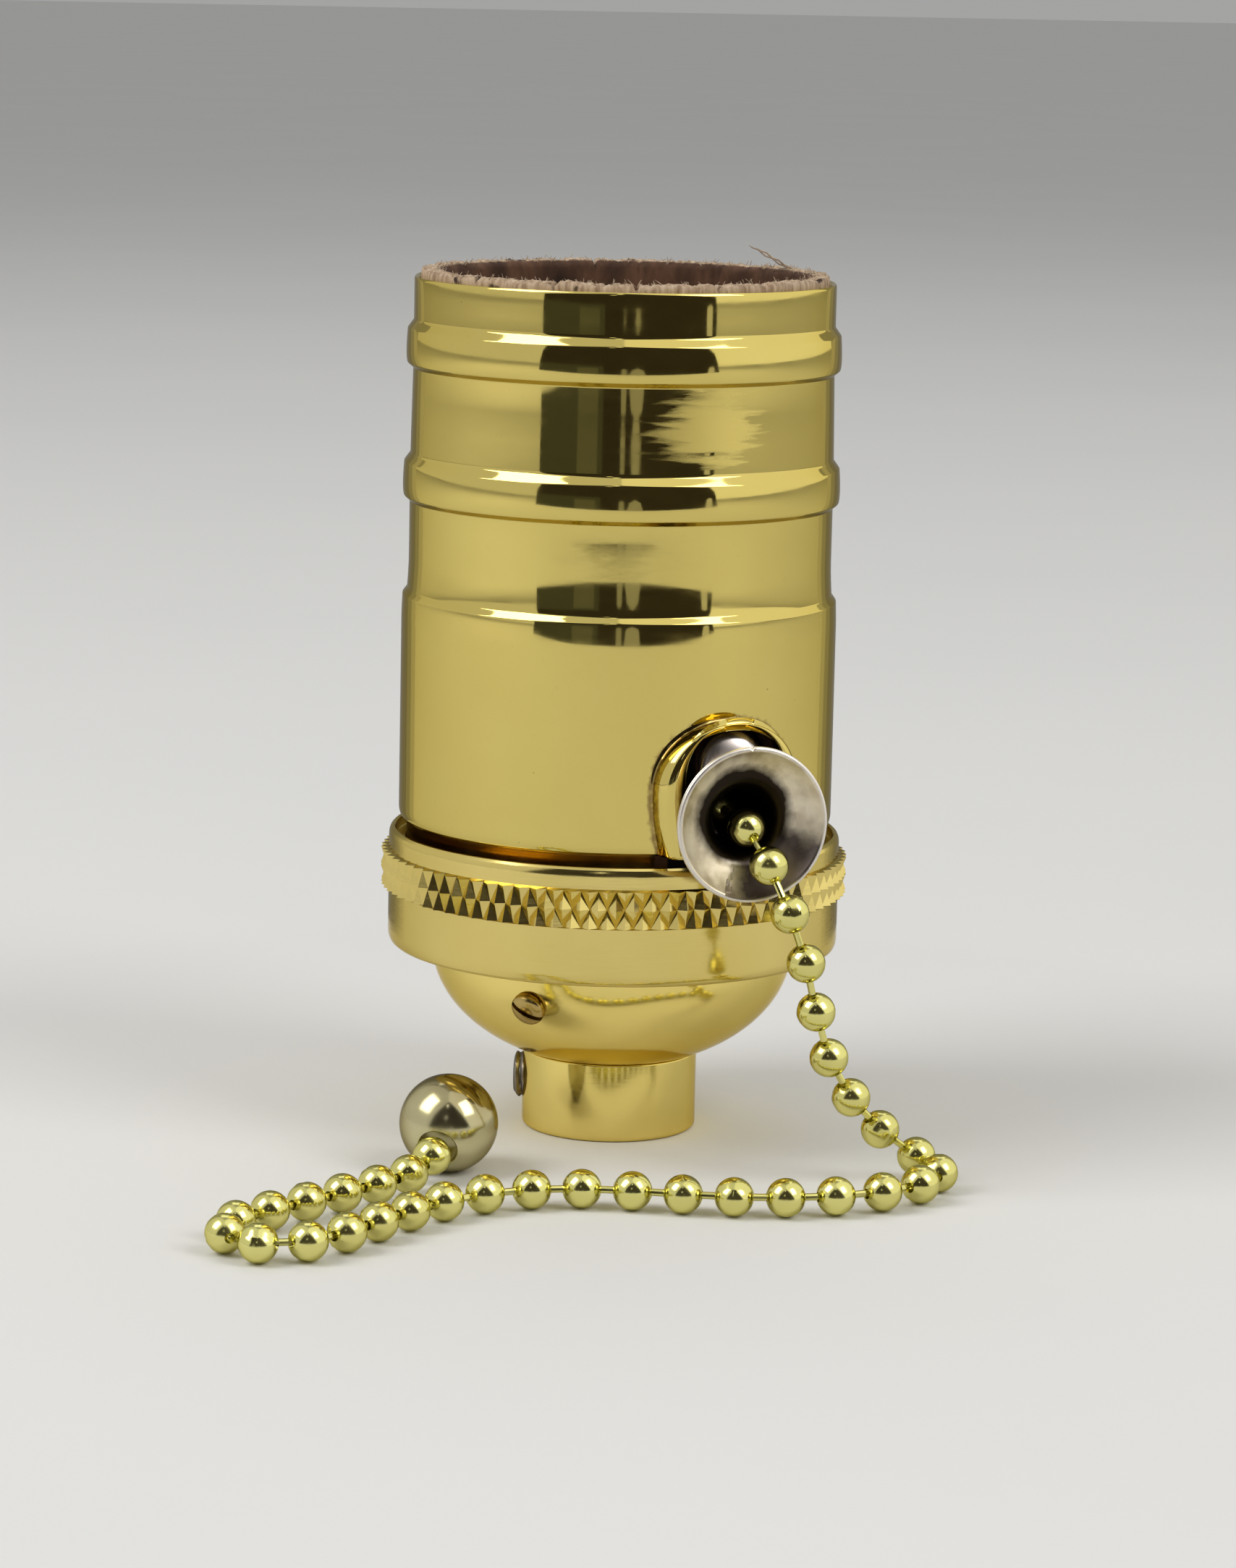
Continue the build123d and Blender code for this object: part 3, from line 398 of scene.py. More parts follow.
def bell_plate():
    """Nickel plate on the bell mouth: satin on the flare, with a painted dark reflection low on the right,
    and shiny down the throat, with painted dark shade there whose middle lies a little to one side."""
    made, tree, shader = material("bell_plate")
    mottle = grain(tree, 700, 6)
    centred = vector(tree, "SUBTRACT", in_object(tree), (CHAIN_X, 0, CHAIN_Z))
    flat = vector(tree, "MULTIPLY", centred, (1, 0, 1))
    # a painted dark reflection on the flare's lower right
    low_right = vector(tree, "DOT_PRODUCT", vector(tree, "NORMALIZE", flat), (0.56, 0, -0.83))
    dark_reflection = span(tree, sums(tree, low_right, span(tree, mottle, -0.10, 0.10)), 0.0, 0.9, 0.70, 0.84)
    # painted dark shade down the throat, its middle a little off the bell's axis
    off = vector(tree, "DISTANCE", flat, (-0.0003, 0, 0.0005))
    depth = sums(tree, off, span(tree, mottle, -0.00015, 0.00015))
    throat = span(tree, depth, 1.0, 0.0, 0.0037, 0.0045)
    outside = span(tree, vector(tree, "LENGTH", flat), 0.0, 1.0, 0.0061, 0.0062)
    colour = tint(tree, mottle, [(0.3, (0.50, 0.42, 0.315)), (0.6, (0.74, 0.66, 0.53))])
    colour = blend(tree, colour, (0.10, 0.075, 0.08), dark_reflection)
    colour = blend(tree, colour, (0.022, 0.016, 0.012), throat)
    colour = blend(tree, colour, (0.74, 0.69, 0.62), outside)
    rough = span(tree, throat, span(tree, mottle, 0.30, 0.44), 0.34, 0.0, 1.0)
    feed(shader, {"Base Color": colour, "Roughness": rough, "Metallic": 1})
    relief(tree, shader, [(mottle, 8e-6)])
    return made


def paper():
    """The pale floor."""
    made, tree, shader = material("pale_paper")
    colour = tint(tree, grain(tree, 9, 4), [(0.3, (0.82, 0.815, 0.80)), (0.7, (0.80, 0.797, 0.785))])
    feed(shader, {"Base Color": colour, "Roughness": 0.75, "Specular IOR Level": 0.2})
    relief(tree, shader, [(grain(tree, 900, 5), 3e-5)])
    return made


# ================ mesh helpers ================


class Build:
    """Points and faces of one piece, gathered before its mesh is made."""

    def __init__(self):
        self.points = []
        self.faces = []

    def add(self, point):
        self.points.append(point)
        return len(self.points) - 1

    def grid(self, rows, wrap=True):
        """Faces over rows of points of equal length. Each row closes on itself if wrap is true."""
        ids = [[self.add(point) for point in row] for row in rows]
        last = len(rows[0]) if wrap else len(rows[0]) - 1
        for low, high in zip(ids, ids[1:]):
            for k in range(last):
                after = (k + 1) % len(low)
                self.faces.append((low[k], low[after], high[after], high[k]))
        return ids

    def tube(self, points, radii, sides):
        """A round thread through points, with a radius at each, closed at both ends."""
        rows = []
        for k, (point, radius) in enumerate(zip(points, radii)):
            along = (points[min(k + 1, len(points) - 1)] - points[max(k - 1, 0)]).normalized()
            first = along.orthogonal().normalized()
            second = along.cross(first)
            turns = [2 * pi * s / sides for s in range(sides)]
            rows.append([point + (first * cos(a) + second * sin(a)) * radius for a in turns])
        ids = self.grid(rows)
        self.faces.append(tuple(reversed(ids[0])))
        self.faces.append(tuple(ids[-1]))

    def piece(self, name, finish, sharp=35, weighted=False):
        """The object, smooth apart from edges over sharp degrees. weighted shades its flat faces flat."""
        made = sheet(name, self.points, self.faces, finish)
        made.data.validate()
        made.data.shade_smooth()
        made.data.set_sharp_from_angle(angle=radians(sharp))
        if weighted:
            normals = made.modifiers.new("even_shading", "WEIGHTED_NORMAL")
            normals.keep_sharp = True
        return made


def rounded(outline, steps=4):
    """A closed outline of (r, z, cut) corners, each cut back by its own length and rounded off."""
    made = []
    count = len(outline)
    for k, (r, z, cut) in enumerate(outline):
        here = Vector((r, z))
        before = Vector(outline[k - 1][:2]) - here
        after = Vector(outline[(k + 1) % count][:2]) - here
        reach = min(cut, before.length * 0.45, after.length * 0.45)
        if reach <= 0:
            made.append((r, z))
            continue
        start, end = here + before.normalized() * reach, here + after.normalized() * reach
        for s in range(steps + 1):
            t = s / steps
            point = start * (1 - t) ** 2 + here * 2 * t * (1 - t) + end * t * t
            made.append(tuple(point))
    return made


def skin(rows, wrap=True):
    """A Build with one grid over the rows."""
    build = Build()
    build.grid(rows, wrap)
    return build


def rings(outline, steps, place=Matrix(), shift=None, start=0.0, sweep=2 * pi):
    """Rings of points about +Z, or about place's z, one for each (r, z) of the outline. Whole rings don't
    repeat their first point. shift(turn, r, z) may move a point."""
    turns = [start + sweep * k / steps for k in range(steps if sweep == 2 * pi else steps + 1)]
    rows = []
    for r, z in outline:
        spots = [shift(turn, r, z) if shift else (r, z) for turn in turns]
        rows.append([place @ around(turn, *spot) for turn, spot in zip(turns, spots)])
    return rows


def lathe(outline, steps=192, place=Matrix(), shift=None, start=0.0, sweep=2 * pi):
    """A closed outline of (r, z) turned into a solid. The outline runs up the outside and down the inside."""
    whole = sweep == 2 * pi
    build = Build()
    ids = build.grid(rings(outline + outline[:1], steps, place, shift, start, sweep), wrap=whole)
    if not whole:
        build.faces.append(tuple(row[0] for row in reversed(ids[:-1])))
        build.faces.append(tuple(row[-1] for row in ids[:-1]))
    return build


def weld(piece):
    """Merge points that lie on each other, such as those in a turned shape's middle."""
    joined = piece.modifiers.new("weld", "WELD")
    joined.merge_threshold = 1e-7
    piece.modifiers.move(len(piece.modifiers) - 1, 0)
    return piece


def thicken(piece, wall):
    """Give a sheet its wall, inwards."""
    thick = piece.modifiers.new("sheet", "SOLIDIFY")
    thick.thickness = wall
    thick.offset = -1


def facing(origin, way, up=(0, 0, 1)):
    """A place whose z runs along way."""
    ahead = Vector(way).normalized()
    side = Vector(up).cross(ahead).normalized()
    if side.length < 0.5:
        side = ahead.orthogonal().normalized()
    across = ahead.cross(side)
    turned = Matrix((side, across, ahead)).transposed().to_4x4()
    return Matrix.Translation(Vector(origin)) @ turned


def carve(piece, cutter, finish):
    """Take cutter away from piece, and remove cutter. The piece keeps its finish."""
    cut = piece.modifiers.new("cut", "BOOLEAN")
    cut.object = cutter
    cut.solver = "EXACT"
    bpy.context.view_layer.update()
    seen = piece.evaluated_get(bpy.context.evaluated_depsgraph_get())
    mesh = bpy.data.meshes.new_from_object(seen)
    piece.modifiers.clear()
    piece.data = mesh
    mesh.shade_smooth()
    mesh.set_sharp_from_angle(angle=radians(35))
    mesh.materials.clear()
    mesh.materials.append(finish)
    bpy.data.objects.remove(cutter)


def slot_cutter(middle, size, place):
    """A box that cuts a screw's slot: size about middle, in place."""
    build = Build()
    x, y, z = (value / 2 for value in size)
    corners = [(a * x, b * y, c * z) for c in (-1, 1) for a, b in ((-1, -1), (1, -1), (1, 1), (-1, 1))]
    for corner in corners:
        build.add(place @ (Vector(corner) + Vector(middle)))
    build.faces = [(3, 2, 1, 0), (4, 5, 6, 7), (0, 1, 5, 4), (1, 2, 6, 5), (2, 3, 7, 6), (3, 0, 4, 7)]
    return build.piece("cutter", None)


# ================ chain ================


def bead(build, place):
    """One ball of the chain: rolled from strip, with a hole for the link at each end and a fine seam."""
    hole, lip = 0.42 * MM, 0.14 * MM
    edge = asin(hole / BALL_R)
    outline = [(0, -BALL_R + 5 * lip), (hole * 0.8, -BALL_R + 2.6 * lip)]
    outline += arc(0, 0, BALL_R, BALL_R, edge - pi / 2, pi / 2 - edge, 16)
    outline += [(hole * 0.8, BALL_R - 2.6 * lip), (0, BALL_R - 5 * lip)]
    sides, seam, seam_turn = 28, 0.05 * MM, 0.09
    # the seam is each ring's first point, and the last point lies close to it
    turns = [0.0] + [seam_turn + (2 * pi - 0.2) * k / sides for k in range(1, sides - 1)] + [-seam_turn]
    rows = []
    for r, z in outline:
        depth = seam if r > hole else 0
        rows.append([place @ around(turn, r if turn else max(r - depth, 0), z) for turn in turns])
    build.grid(rows)


def link(build, start, end):
    """The thin rod between two balls."""
    count = 6
    points = [start + (end - start) * k / count for k in range(count + 1)]
    waist = [LINK_R * (1.12 - 0.14 * sin(pi * k / count)) for k in range(count + 1)]
    build.tube(points, waist, 10)


def chain_line():
    """The free chain's middle line: one smooth curve with the route's points as its control points."""
    last = Vector(CHAIN_ROUTE[-1])
    seat = END_BALL - (END_BALL - last).normalized() * END_BALL_SEAT
    data = bpy.data.curves.new("chain_line", "CURVE")
    data.dimensions = "3D"
    data.resolution_u = 24
    spline = data.splines.new("NURBS")
    points = [Vector(point) for point in CHAIN_ROUTE] + [seat]
    spline.points.add(len(points) - 1)
    for slot, point in zip(spline.points, points):
        slot.co = (*point, 1)
    spline.order_u = 3
    spline.use_endpoint_u = True
    line = bpy.data.objects.new("chain_line", data)
    show(line)
    bpy.context.view_layer.update()
    mesh = bpy.data.meshes.new_from_object(line)
    path = [vertex.co.copy() for vertex in mesh.vertices]
    bpy.data.objects.remove(line)
    return path


def along_line(path, distance):
    """The point and the direction at a distance along a path."""
    for start, end in zip(path, path[1:]):
        step = (end - start).length
        if distance <= step:
            return start + (end - start) * (distance / step), (end - start).normalized()
        distance -= step
    return path[-1], (path[-1] - path[-2]).normalized()


def free_chain(finish, ball):
    """Balls and links along the line, from the guide to the end ball's hole."""
    path = chain_line()
    length = sum((b - a).length for a, b in zip(path, path[1:]))
    last = length - (LAST_BALL - END_BALL_SEAT)
    chances = random.Random(6)
    build = Build()
    before = path[0]
    for k in range(BALLS):
        # the balls lie a little closer together towards the loop, where the chain is slack
        share = k / (BALLS - 1)
        share += BUNCHING * share * (1 - share)
        centre, way = along_line(path, FIRST_BALL + (last - FIRST_BALL) * share)
        up = (chances.uniform(-1, 1), chances.uniform(-1, 1), chances.uniform(-1, 1))
        bead(build, facing(centre, way, up))
        link(build, before, centre)
        before = centre
    chain = weld(build.piece("ball_chain", finish))
    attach(chain, "chain")
    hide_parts("pull_chain")


def draw_end(finish):
    """The straight end of the chain inside the holder, with the stop ball behind the lever."""
    stop_y, first_y, last_y, balls = 7.4 * MM, 0.5 * MM, -15.6 * MM, 5
    places = [stop_y] + [first_y + (last_y - first_y) * k / (balls - 1) for k in range(balls)]
    build = Build()
    for k, y in enumerate(places):
        bead(build, facing((CHAIN_X, y, CHAIN_Z), (0, -1, 0), (cos(k), 0, sin(k))))
    for y, after in zip(places, places[1:] + [CHAIN_EXIT_Y]):
        link(build, Vector((CHAIN_X, y, CHAIN_Z)), Vector((CHAIN_X, after, CHAIN_Z)))
    inner = weld(build.piece("draw_chain", finish))
    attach(inner, "chain")
    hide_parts("chain_draw_end")


def end_ball(finish):
    """The ball on the chain's end: spun hollow, with a turned-in mouth."""
    mouth = 1.72 * MM
    edge = asin(mouth / END_BALL_R)
    rim = END_BALL_R * cos(edge)
    outline = arc(0, 0, END_BALL_R, END_BALL_R, -pi / 2, pi / 2 - edge, 40)
    outline += [(mouth - 0.07 * MM, rim - 0.03 * MM), (mouth - 0.1 * MM, rim - 0.16 * MM)]
    outline += [(mouth - 0.07 * MM, rim - 1.4 * MM), (0, rim - 1.5 * MM)]
    rows = rings(outline, 72, facing(END_BALL, Vector(CHAIN_ROUTE[-1]) - END_BALL))
    ball = weld(skin(rows).piece("chain_end_ball", finish))
    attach(ball, "chain")
    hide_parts("end_ball")
    return ball


# ================ chain guide ================


def bell(finish):
    """The bell mouth: a flanged tube, a steep throat, then a wide satin flare with a rolled lip."""
    bore, rim, wall = 2.1 * MM, 6.45 * MM, 0.45 * MM
    front_y, rear_y = 24.2 * MM, 16.4 * MM
    flange, bracket_y = 2.75 * MM, 17.0 * MM
    inside = mm([(2.1, 19.0), (2.18, 19.9), (2.42, 20.9), (2.85, 21.75), (3.35, 22.3), (3.7, 22.52)]
                + [(3.86, 22.56), (4.3, 22.78), (4.9, 23.12), (5.4, 23.44), (5.8, 23.74), (6.05, 23.96)])
    outside = []
    for before, here, after in zip(inside[:1] + inside, inside, inside[1:] + inside[-1:]):
        way = (Vector(after) - Vector(before)).normalized()
        outside.append((here[0] + wall * way[1], here[1] - wall * way[0]))
    roll = 0.24 * MM
    lip_r, lip_y = rim - 0.26 * MM, front_y - roll
    lip_turns = (-1.2, -0.6, 0.0, 0.5, 1.0, 1.5, 2.0, 2.5)
    lip = [(lip_r + roll * cos(a), lip_y + roll * sin(a)) for a in lip_turns]
    shank = [(bore, rear_y), (flange, rear_y), (flange, bracket_y), (bore + wall, bracket_y)]

    def seam(turn, r, z):
        # the sheet's lapped edge, low on the left, and a nick in the lip at the top
        past = (turn - radians(72) - 0.05 * sin(r * 9000)) % (2 * pi)
        lap = 0.3 * MM * (1 - ease(past / radians(85))) * ease((r - 3.6 * MM) / (1.2 * MM))
        nick = 0.14 * MM if off_turn(turn, radians(272)) < 0.02 and r > lip_r else 0
        return r - nick, z - (lap if z > 22.4 * MM and r < lip_r else 0)

    place = facing((CHAIN_X, 0, CHAIN_Z), (0, -1, 0), (1, 0, 0))
    outline = shank + outside + lip + inside[::-1]
    guide = lathe(outline, 300, place, shift=seam).piece("bell_mouth", finish, weighted=True)
    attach(guide, "socket")
    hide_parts("chain_guide")


def hood(finish):
    """The rounded bracket that holds the bell mouth."""
    half, top_z, low_z = 3.1 * MM, 34.4 * MM, 27.0 * MM
    rear_y, shoulder_y, nose, wall = 9.5 * MM, 16.4 * MM, 2.9 * MM, 0.5 * MM
    hole = 2.5 * MM
    steps, bends = 64, 16

    def ring(y, circle=0.0):
        """A section at -y, from the bracket's arch at circle 0 to the round hole at 1."""
        row = []
        for k in range(steps):
            turn = 2 * pi * k / steps - pi / 2
            x, z = cos(turn), sin(turn)
            scale = half
            if z < 0:
                scale = min(half / max(abs(x), 1e-6), (top_z - low_z) / max(-z, 1e-6))
            arch = Vector((x * scale, top_z + z * scale))
            at = arch.lerp(Vector((x * hole, CHAIN_Z + z * hole)), circle)
            row.append(Vector((CHAIN_X + at[0], -y, at[1])))
        return row

    rows = [ring(rear_y), ring(rear_y + 3 * MM), ring(shoulder_y - 0.3 * MM)]
    for k in range(bends + 1):
        a = pi / 2 * k / bends
        rows.append(ring(shoulder_y + nose * sin(a) ** 0.8, (1 - cos(a)) ** 1.5))
    cover = skin(rows).piece("guide_hood", finish, sharp=40)
    thicken(cover, wall)
    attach(cover, "socket")
    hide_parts("guide_bracket")


# ================ shell ================

SHELL_LOW_R = 18.5 * MM
SHELL_Z = 27.0 * MM
SHELL_WALL = 0.55 * MM
# heights in millimetres, and how much the side leans in there as it goes up: the foot, the step, the lip, and
# one raised bead with its heights from BEADS
FOOT = [(27.0, -0.5), (27.8, 0)]
STEP = [(43.9, 0), (44.5, 0.026), (46.05, 0.05), (46.15, 0.72), (46.55, 0.75), (46.68, 0.075), (48.5, 0.035)]
STEP += [(49.6, 0)]
LIP = [(72.65, 0.0), (72.9, 0.9)]
BEADS = (54.0, 65.2)
BEAD = [(0, 0), (0.12, -1.2), (0.4, -1.2), (0.55, -0.2), (1.0, -0.05), (1.65, 0.015), (2.2, 0.035)]
BEAD += [(3.3, 0.09), (3.42, 0.70), (3.95, 0.75), (4.12, 0.1), (4.3, 0)]
# how much more the side leans in between the beads
WAIST = 0.02
# the boss, with its arch's middle at BOSS_Z, and its mouth
BOSS_LEAN = radians(8)
BOSS_REACH = 19.9 * MM
BOSS_R = 6.5 * MM
BOSS_RISE = 5.9 * MM
BOSS_Z = 32.15 * MM
BOSS_DROP = 11.1 * MM
MOUTH_R = 4.5 * MM
MOUTH_Z = 33.45 * MM
MOUTH_DROP = 30.0 * MM
# under 1 makes the arches squarer than round
ARCH = 0.92
# how much of its height the boss has lost where its root starts
BOSS_FALL = 0.88
# the hollow at the boss's root: how far out in millimetres, and what share of its height is left
ROOT = [(0.01, 0.75), (0.04, 0.5), (0.09, 0.28), (0.16, 0.12), (0.25, 0.03), (0.35, 0), (0.45, 0)]
# brown painted shade, with some tarnish, on the rings outwards, from this many above the boss's root
CREASE_SHADE = (0.25, 0.5, 0.75, 0.9, 1, 1, 1, 1, 0.9, 0.6, 0.3)
CREASE_SHADE_ABOVE = 4
# the shell's columns, and the part of its grid that the boss and the ground round it take the place of
SHELL_COLUMNS = 256
PATCH_COLUMNS = 24
PATCH_TOP = 43.8 * MM
# where the rings of that ground are, from the boss's root at 0 to the grid at 1
PATCH_STEPS = (0.05, 0.12, 0.21, 0.32, 0.45, 0.6, 0.78)


def shell_side():
    """Heights of the shell's rows, closer together where its side bends, and the radius at each."""
    knots = FOOT + STEP
    for low in BEADS:
        knots += [(low + up, lean) for up, lean in BEAD]
    knots += LIP
    heights, radii = [SHELL_Z], [SHELL_LOW_R - 0.2 * MM]
    for (low, lean), (high, next_lean) in zip(knots, knots[1:]):
        waist = WAIST if low > BEADS[0] + 4 and high < BEADS[1] + 0.1 else 0
        parts = 36 if low == FOOT[-1][0] else max(3, ceil(abs(next_lean - lean) * 8))
        for k in range(1, parts + 1):
            middle = lean + (next_lean - lean) * (k - 0.5) / parts + waist
            heights.append((low + (high - low) * k / parts) * MM)
            radii.append(radii[-1] - middle * (high - low) / parts * MM)
    return heights, radii


SIDE_HEIGHTS, SIDE_RADII = shell_side()


def shell_radius(z):
    """The shell's outer radius at height z."""
    above = min(max(bisect(SIDE_HEIGHTS, z), 1), len(SIDE_HEIGHTS) - 1)
    low, high = SIDE_HEIGHTS[above - 1], SIDE_HEIGHTS[above]
    share = (z - low) / (high - low)
    return SIDE_RADII[above - 1] + (SIDE_RADII[above] - SIDE_RADII[above - 1]) * share


def boss_point(across, z, depth):
    """A point in the boss's own frame: across it, up, and out along the way it leans."""
    middle = CHAIN_X - BOSS_REACH * sin(BOSS_LEAN)
    x = middle + across * cos(BOSS_LEAN) + depth * sin(BOSS_LEAN)
    y = across * sin(BOSS_LEAN) - depth * cos(BOSS_LEAN)
    return Vector((x, y, z))


def boss_depth(across, z):
    """How far out the shell's plain side is, in the boss's frame."""
    r = shell_radius(z)
    start = boss_point(across, z, 0)
    way = boss_point(across, z, 1) - start
    middle = start.x * way.x + start.y * way.y
    return -middle + sqrt(middle**2 - start.x**2 - start.y**2 + r**2)


def horseshoe(share, wide, rise, centre, drop):
    """An arch over two long half ellipses that end at the shell's foot. share runs from 0, low on the right,
    over the top, to 1, low on the left."""
    foot = asin((centre - SHELL_Z) / drop)
    turn = -foot + share * (pi + 2 * foot)
    if 0 < turn < pi:
        side = 1 if turn < pi / 2 else -1
        return side * wide * abs(cos(turn)) ** ARCH, centre + rise * sin(turn) ** ARCH
    return wide * cos(turn), centre + drop * sin(turn)


def boss_rings(shares):
    """Rings of the boss from its mouth out to the shell's side, each a list of points."""
    inner = [horseshoe(share, MOUTH_R, MOUTH_R, MOUTH_Z, MOUTH_DROP) for share in shares]
    outer = [horseshoe(share, BOSS_R, BOSS_RISE, BOSS_Z, BOSS_DROP) for share in shares]
    rooms = [BOSS_REACH - boss_depth(across, z) for across, z in outer]
    # how far out each ring is, and how much of the room it has fallen
    lip, steps = 0.13, 14
    profile = [(0.0, 0.08), (lip * 0.35, 0.015), (lip, 0.0)]
    for k in range(1, steps + 1):
        bend = pi / 2 * k / steps
        profile.append((lip + (1 - lip) * sin(bend) ** 0.9, BOSS_FALL * (1 - cos(bend)) ** 1.1))
    made = []
    for out, fall in profile:
        ring = []
        for (ax, az), (bx, bz), room in zip(inner, outer, rooms):
            across, z = ax + (bx - ax) * out, az + (bz - az) * out
            ring.append(boss_point(across, z, max(BOSS_REACH - fall * room, boss_depth(across, z))))
        made.append(ring)
    for spare, height in ROOT:
        ring = []
        for share, room in zip(shares, rooms):
            across, z = horseshoe(share, BOSS_R + spare * MM, BOSS_RISE + spare * MM, BOSS_Z, BOSS_DROP)
            ring.append(boss_point(across, z, boss_depth(across, z) + (1 - BOSS_FALL) * height * room))
        made.append(ring)
    return made


def boss_patch(rim, centre_turn):
    """Rings from the boss's mouth out towards the rim of the hole in the shell's grid. rim holds the hole's
    edge as distances round the shell and heights."""
    angles = [(atan2(z - BOSS_Z, s) + pi / 2) % (2 * pi) for s, z in rim]
    made = boss_rings([(a - angles[0]) / (angles[-1] - angles[0]) for a in angles])
    root = [((atan2(p.x, -p.y) - centre_turn) * SHELL_LOW_R, p.z) for p in made[-1]]
    for t in PATCH_STEPS:
        ring = []
        for (s, z), (rim_s, rim_z) in zip(root, rim):
            at_s, at_z = s + (rim_s - s) * t, z + (rim_z - z) * t
            ring.append(around(centre_turn + at_s / SHELL_LOW_R, shell_radius(at_z), at_z))
        made.append(ring)
    return made


def shell_grid(build, centre_turn, patch_row):
    """The shell's side without the boss's part of it. Returns its points' ids by row and column."""
    columns = range(-SHELL_COLUMNS // 2, SHELL_COLUMNS // 2)
    step = 2 * pi / SHELL_COLUMNS
    ids = {}
    for row, z in enumerate(SIDE_HEIGHTS):
        for column in columns:
            if row >= patch_row or abs(column) >= PATCH_COLUMNS:
                ids[row, column] = build.add(around(centre_turn + column * step, shell_radius(z), z))
    for row in range(len(SIDE_HEIGHTS) - 1):
        for column in columns:
            if row < patch_row and -PATCH_COLUMNS <= column < PATCH_COLUMNS:
                continue
            after = column + 1 if column + 1 < SHELL_COLUMNS // 2 else -SHELL_COLUMNS // 2
            build.faces.append((ids[row, column], ids[row, after], ids[row + 1, after], ids[row + 1, column]))
    return ids


def shell(finish, dull):
    """The drawn brass shell: one sheet with a step, two raised beads and the boss, then thickened."""
    patch_row = next(row for row, z in enumerate(SIDE_HEIGHTS) if z > PATCH_TOP)
    centre = boss_point(0, BOSS_Z, boss_depth(0, BOSS_Z))
    centre_turn = atan2(centre.x, -centre.y)
    build = Build()
    ids = shell_grid(build, centre_turn, patch_row)
    rim = [(row, PATCH_COLUMNS) for row in range(patch_row)]
    rim += [(patch_row, column) for column in range(PATCH_COLUMNS, -PATCH_COLUMNS - 1, -1)]
    rim += [(row, -PATCH_COLUMNS) for row in range(patch_row - 1, -1, -1)]
    step = 2 * pi / SHELL_COLUMNS
    patch = boss_patch([(column * step * SHELL_LOW_R, SIDE_HEIGHTS[row]) for row, column in rim], centre_turn)
    ring_ids = [[build.add(point) for point in ring] for ring in patch]
    ring_ids.append([ids[key] for key in rim])
    for low, high in zip(ring_ids, ring_ids[1:]):
        for k in range(len(low) - 1):
            build.faces.append((low[k], high[k], high[k + 1], low[k + 1]))

    body = build.piece("shell_body", finish, sharp=80)
    # how much painted shade, with some tarnish, each point in the creases round the boss's root gets
    crease_shade = body.data.attributes.new("crease_shade", "FLOAT", "POINT")
    first = len(patch) - len(PATCH_STEPS) - len(ROOT) - CREASE_SHADE_ABOVE
    for ring, amount in enumerate(CREASE_SHADE, first):
        for point in ring_ids[ring]:
            crease_shade.data[point].value = amount
    thicken(body, SHELL_WALL)
    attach(body, "socket")
    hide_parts("outer_shell")

    # The skirt under the shell's foot gets the dark brass as painted shade, for the dark gap between the
    # shell and the collar.
    gap = radians(19)
    outline = rounded(mm([(17.8, 22.6, 0.2), (17.8, 26.3, 0.3), (18.2, 27.2, 0.2), (17.9, 27.4, 0.1)]
                         + [(17.25, 26.5, 0.3), (17.25, 22.6, 0.2)]))
    skirt = lathe(outline, 160, start=centre_turn + gap, sweep=2 * pi - 2 * gap)
    band = skirt.piece("shell_skirt", dull, weighted=True)
    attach(band, "socket")


# the fibre liner's size, shared with the stray fibres on its rim
LINER_R = 17.2 * MM
LINER_INNER_R = 15.3 * MM
LINER_TOP = 73.5 * MM
# turns from the camera's, in degrees, and depths in millimetres: slits in the rim, and creases inside
SLITS = [(-58, 0.9), (-46, 0.5), (-20, 1.2), (3, 1.0), (26, 0.5), (43, 1.1), (88, 0.8), (131, 1.0)]
SLITS += [(190, 0.7), (243, 1.0)]
CREASES = [(-150, 0.25), (-105, 0.3), (-71, 0.22), (104, 0.3), (150, 0.25), (176, 0.3), (214, 0.22)]


def cuts(turn, places, r, width):
    """How deep a wall at radius r is cut at this turn by v-shaped cuts of a half width."""
    depth = 0.0
    for place, deep in places:
        off = off_turn(turn, CAMERA_TURN + radians(place)) * r
        depth += deep * MM * max(1 - off / width, 0)
    return depth


def torn(turn, r, z):
    """A point of the liner moved to where its torn and wavy wall is."""
    at = Vector((sin(turn), cos(turn), 0))
    rim = ease((z - 71.8 * MM) / (1.6 * MM))
    coarse = noise.noise(at * 9 + Vector((0, 0, z * 300)))
    fine = noise.noise(at * 46 + Vector((r * 900, 7, z * 900)))
    finest = noise.noise(at * 130 + Vector((r * 2500, 3, z * 2500)))
    wander = (0.10 * coarse + 0.10 * fine + 0.08 * finest) * MM
    if r < LINER_R - 1.5 * MM:
        wander += cuts(turn, CREASES, 15 * MM, 0.35 * MM)
    out = wander * (0.35 + 0.9 * rim) if r < LINER_R - 0.2 * MM else min(wander, 0) * rim
    sink = cuts(turn, SLITS, 16 * MM, 0.2 * MM) - (0.16 * coarse + 0.14 * fine + 0.16 * finest) * MM
    return r + out, z - rim * sink


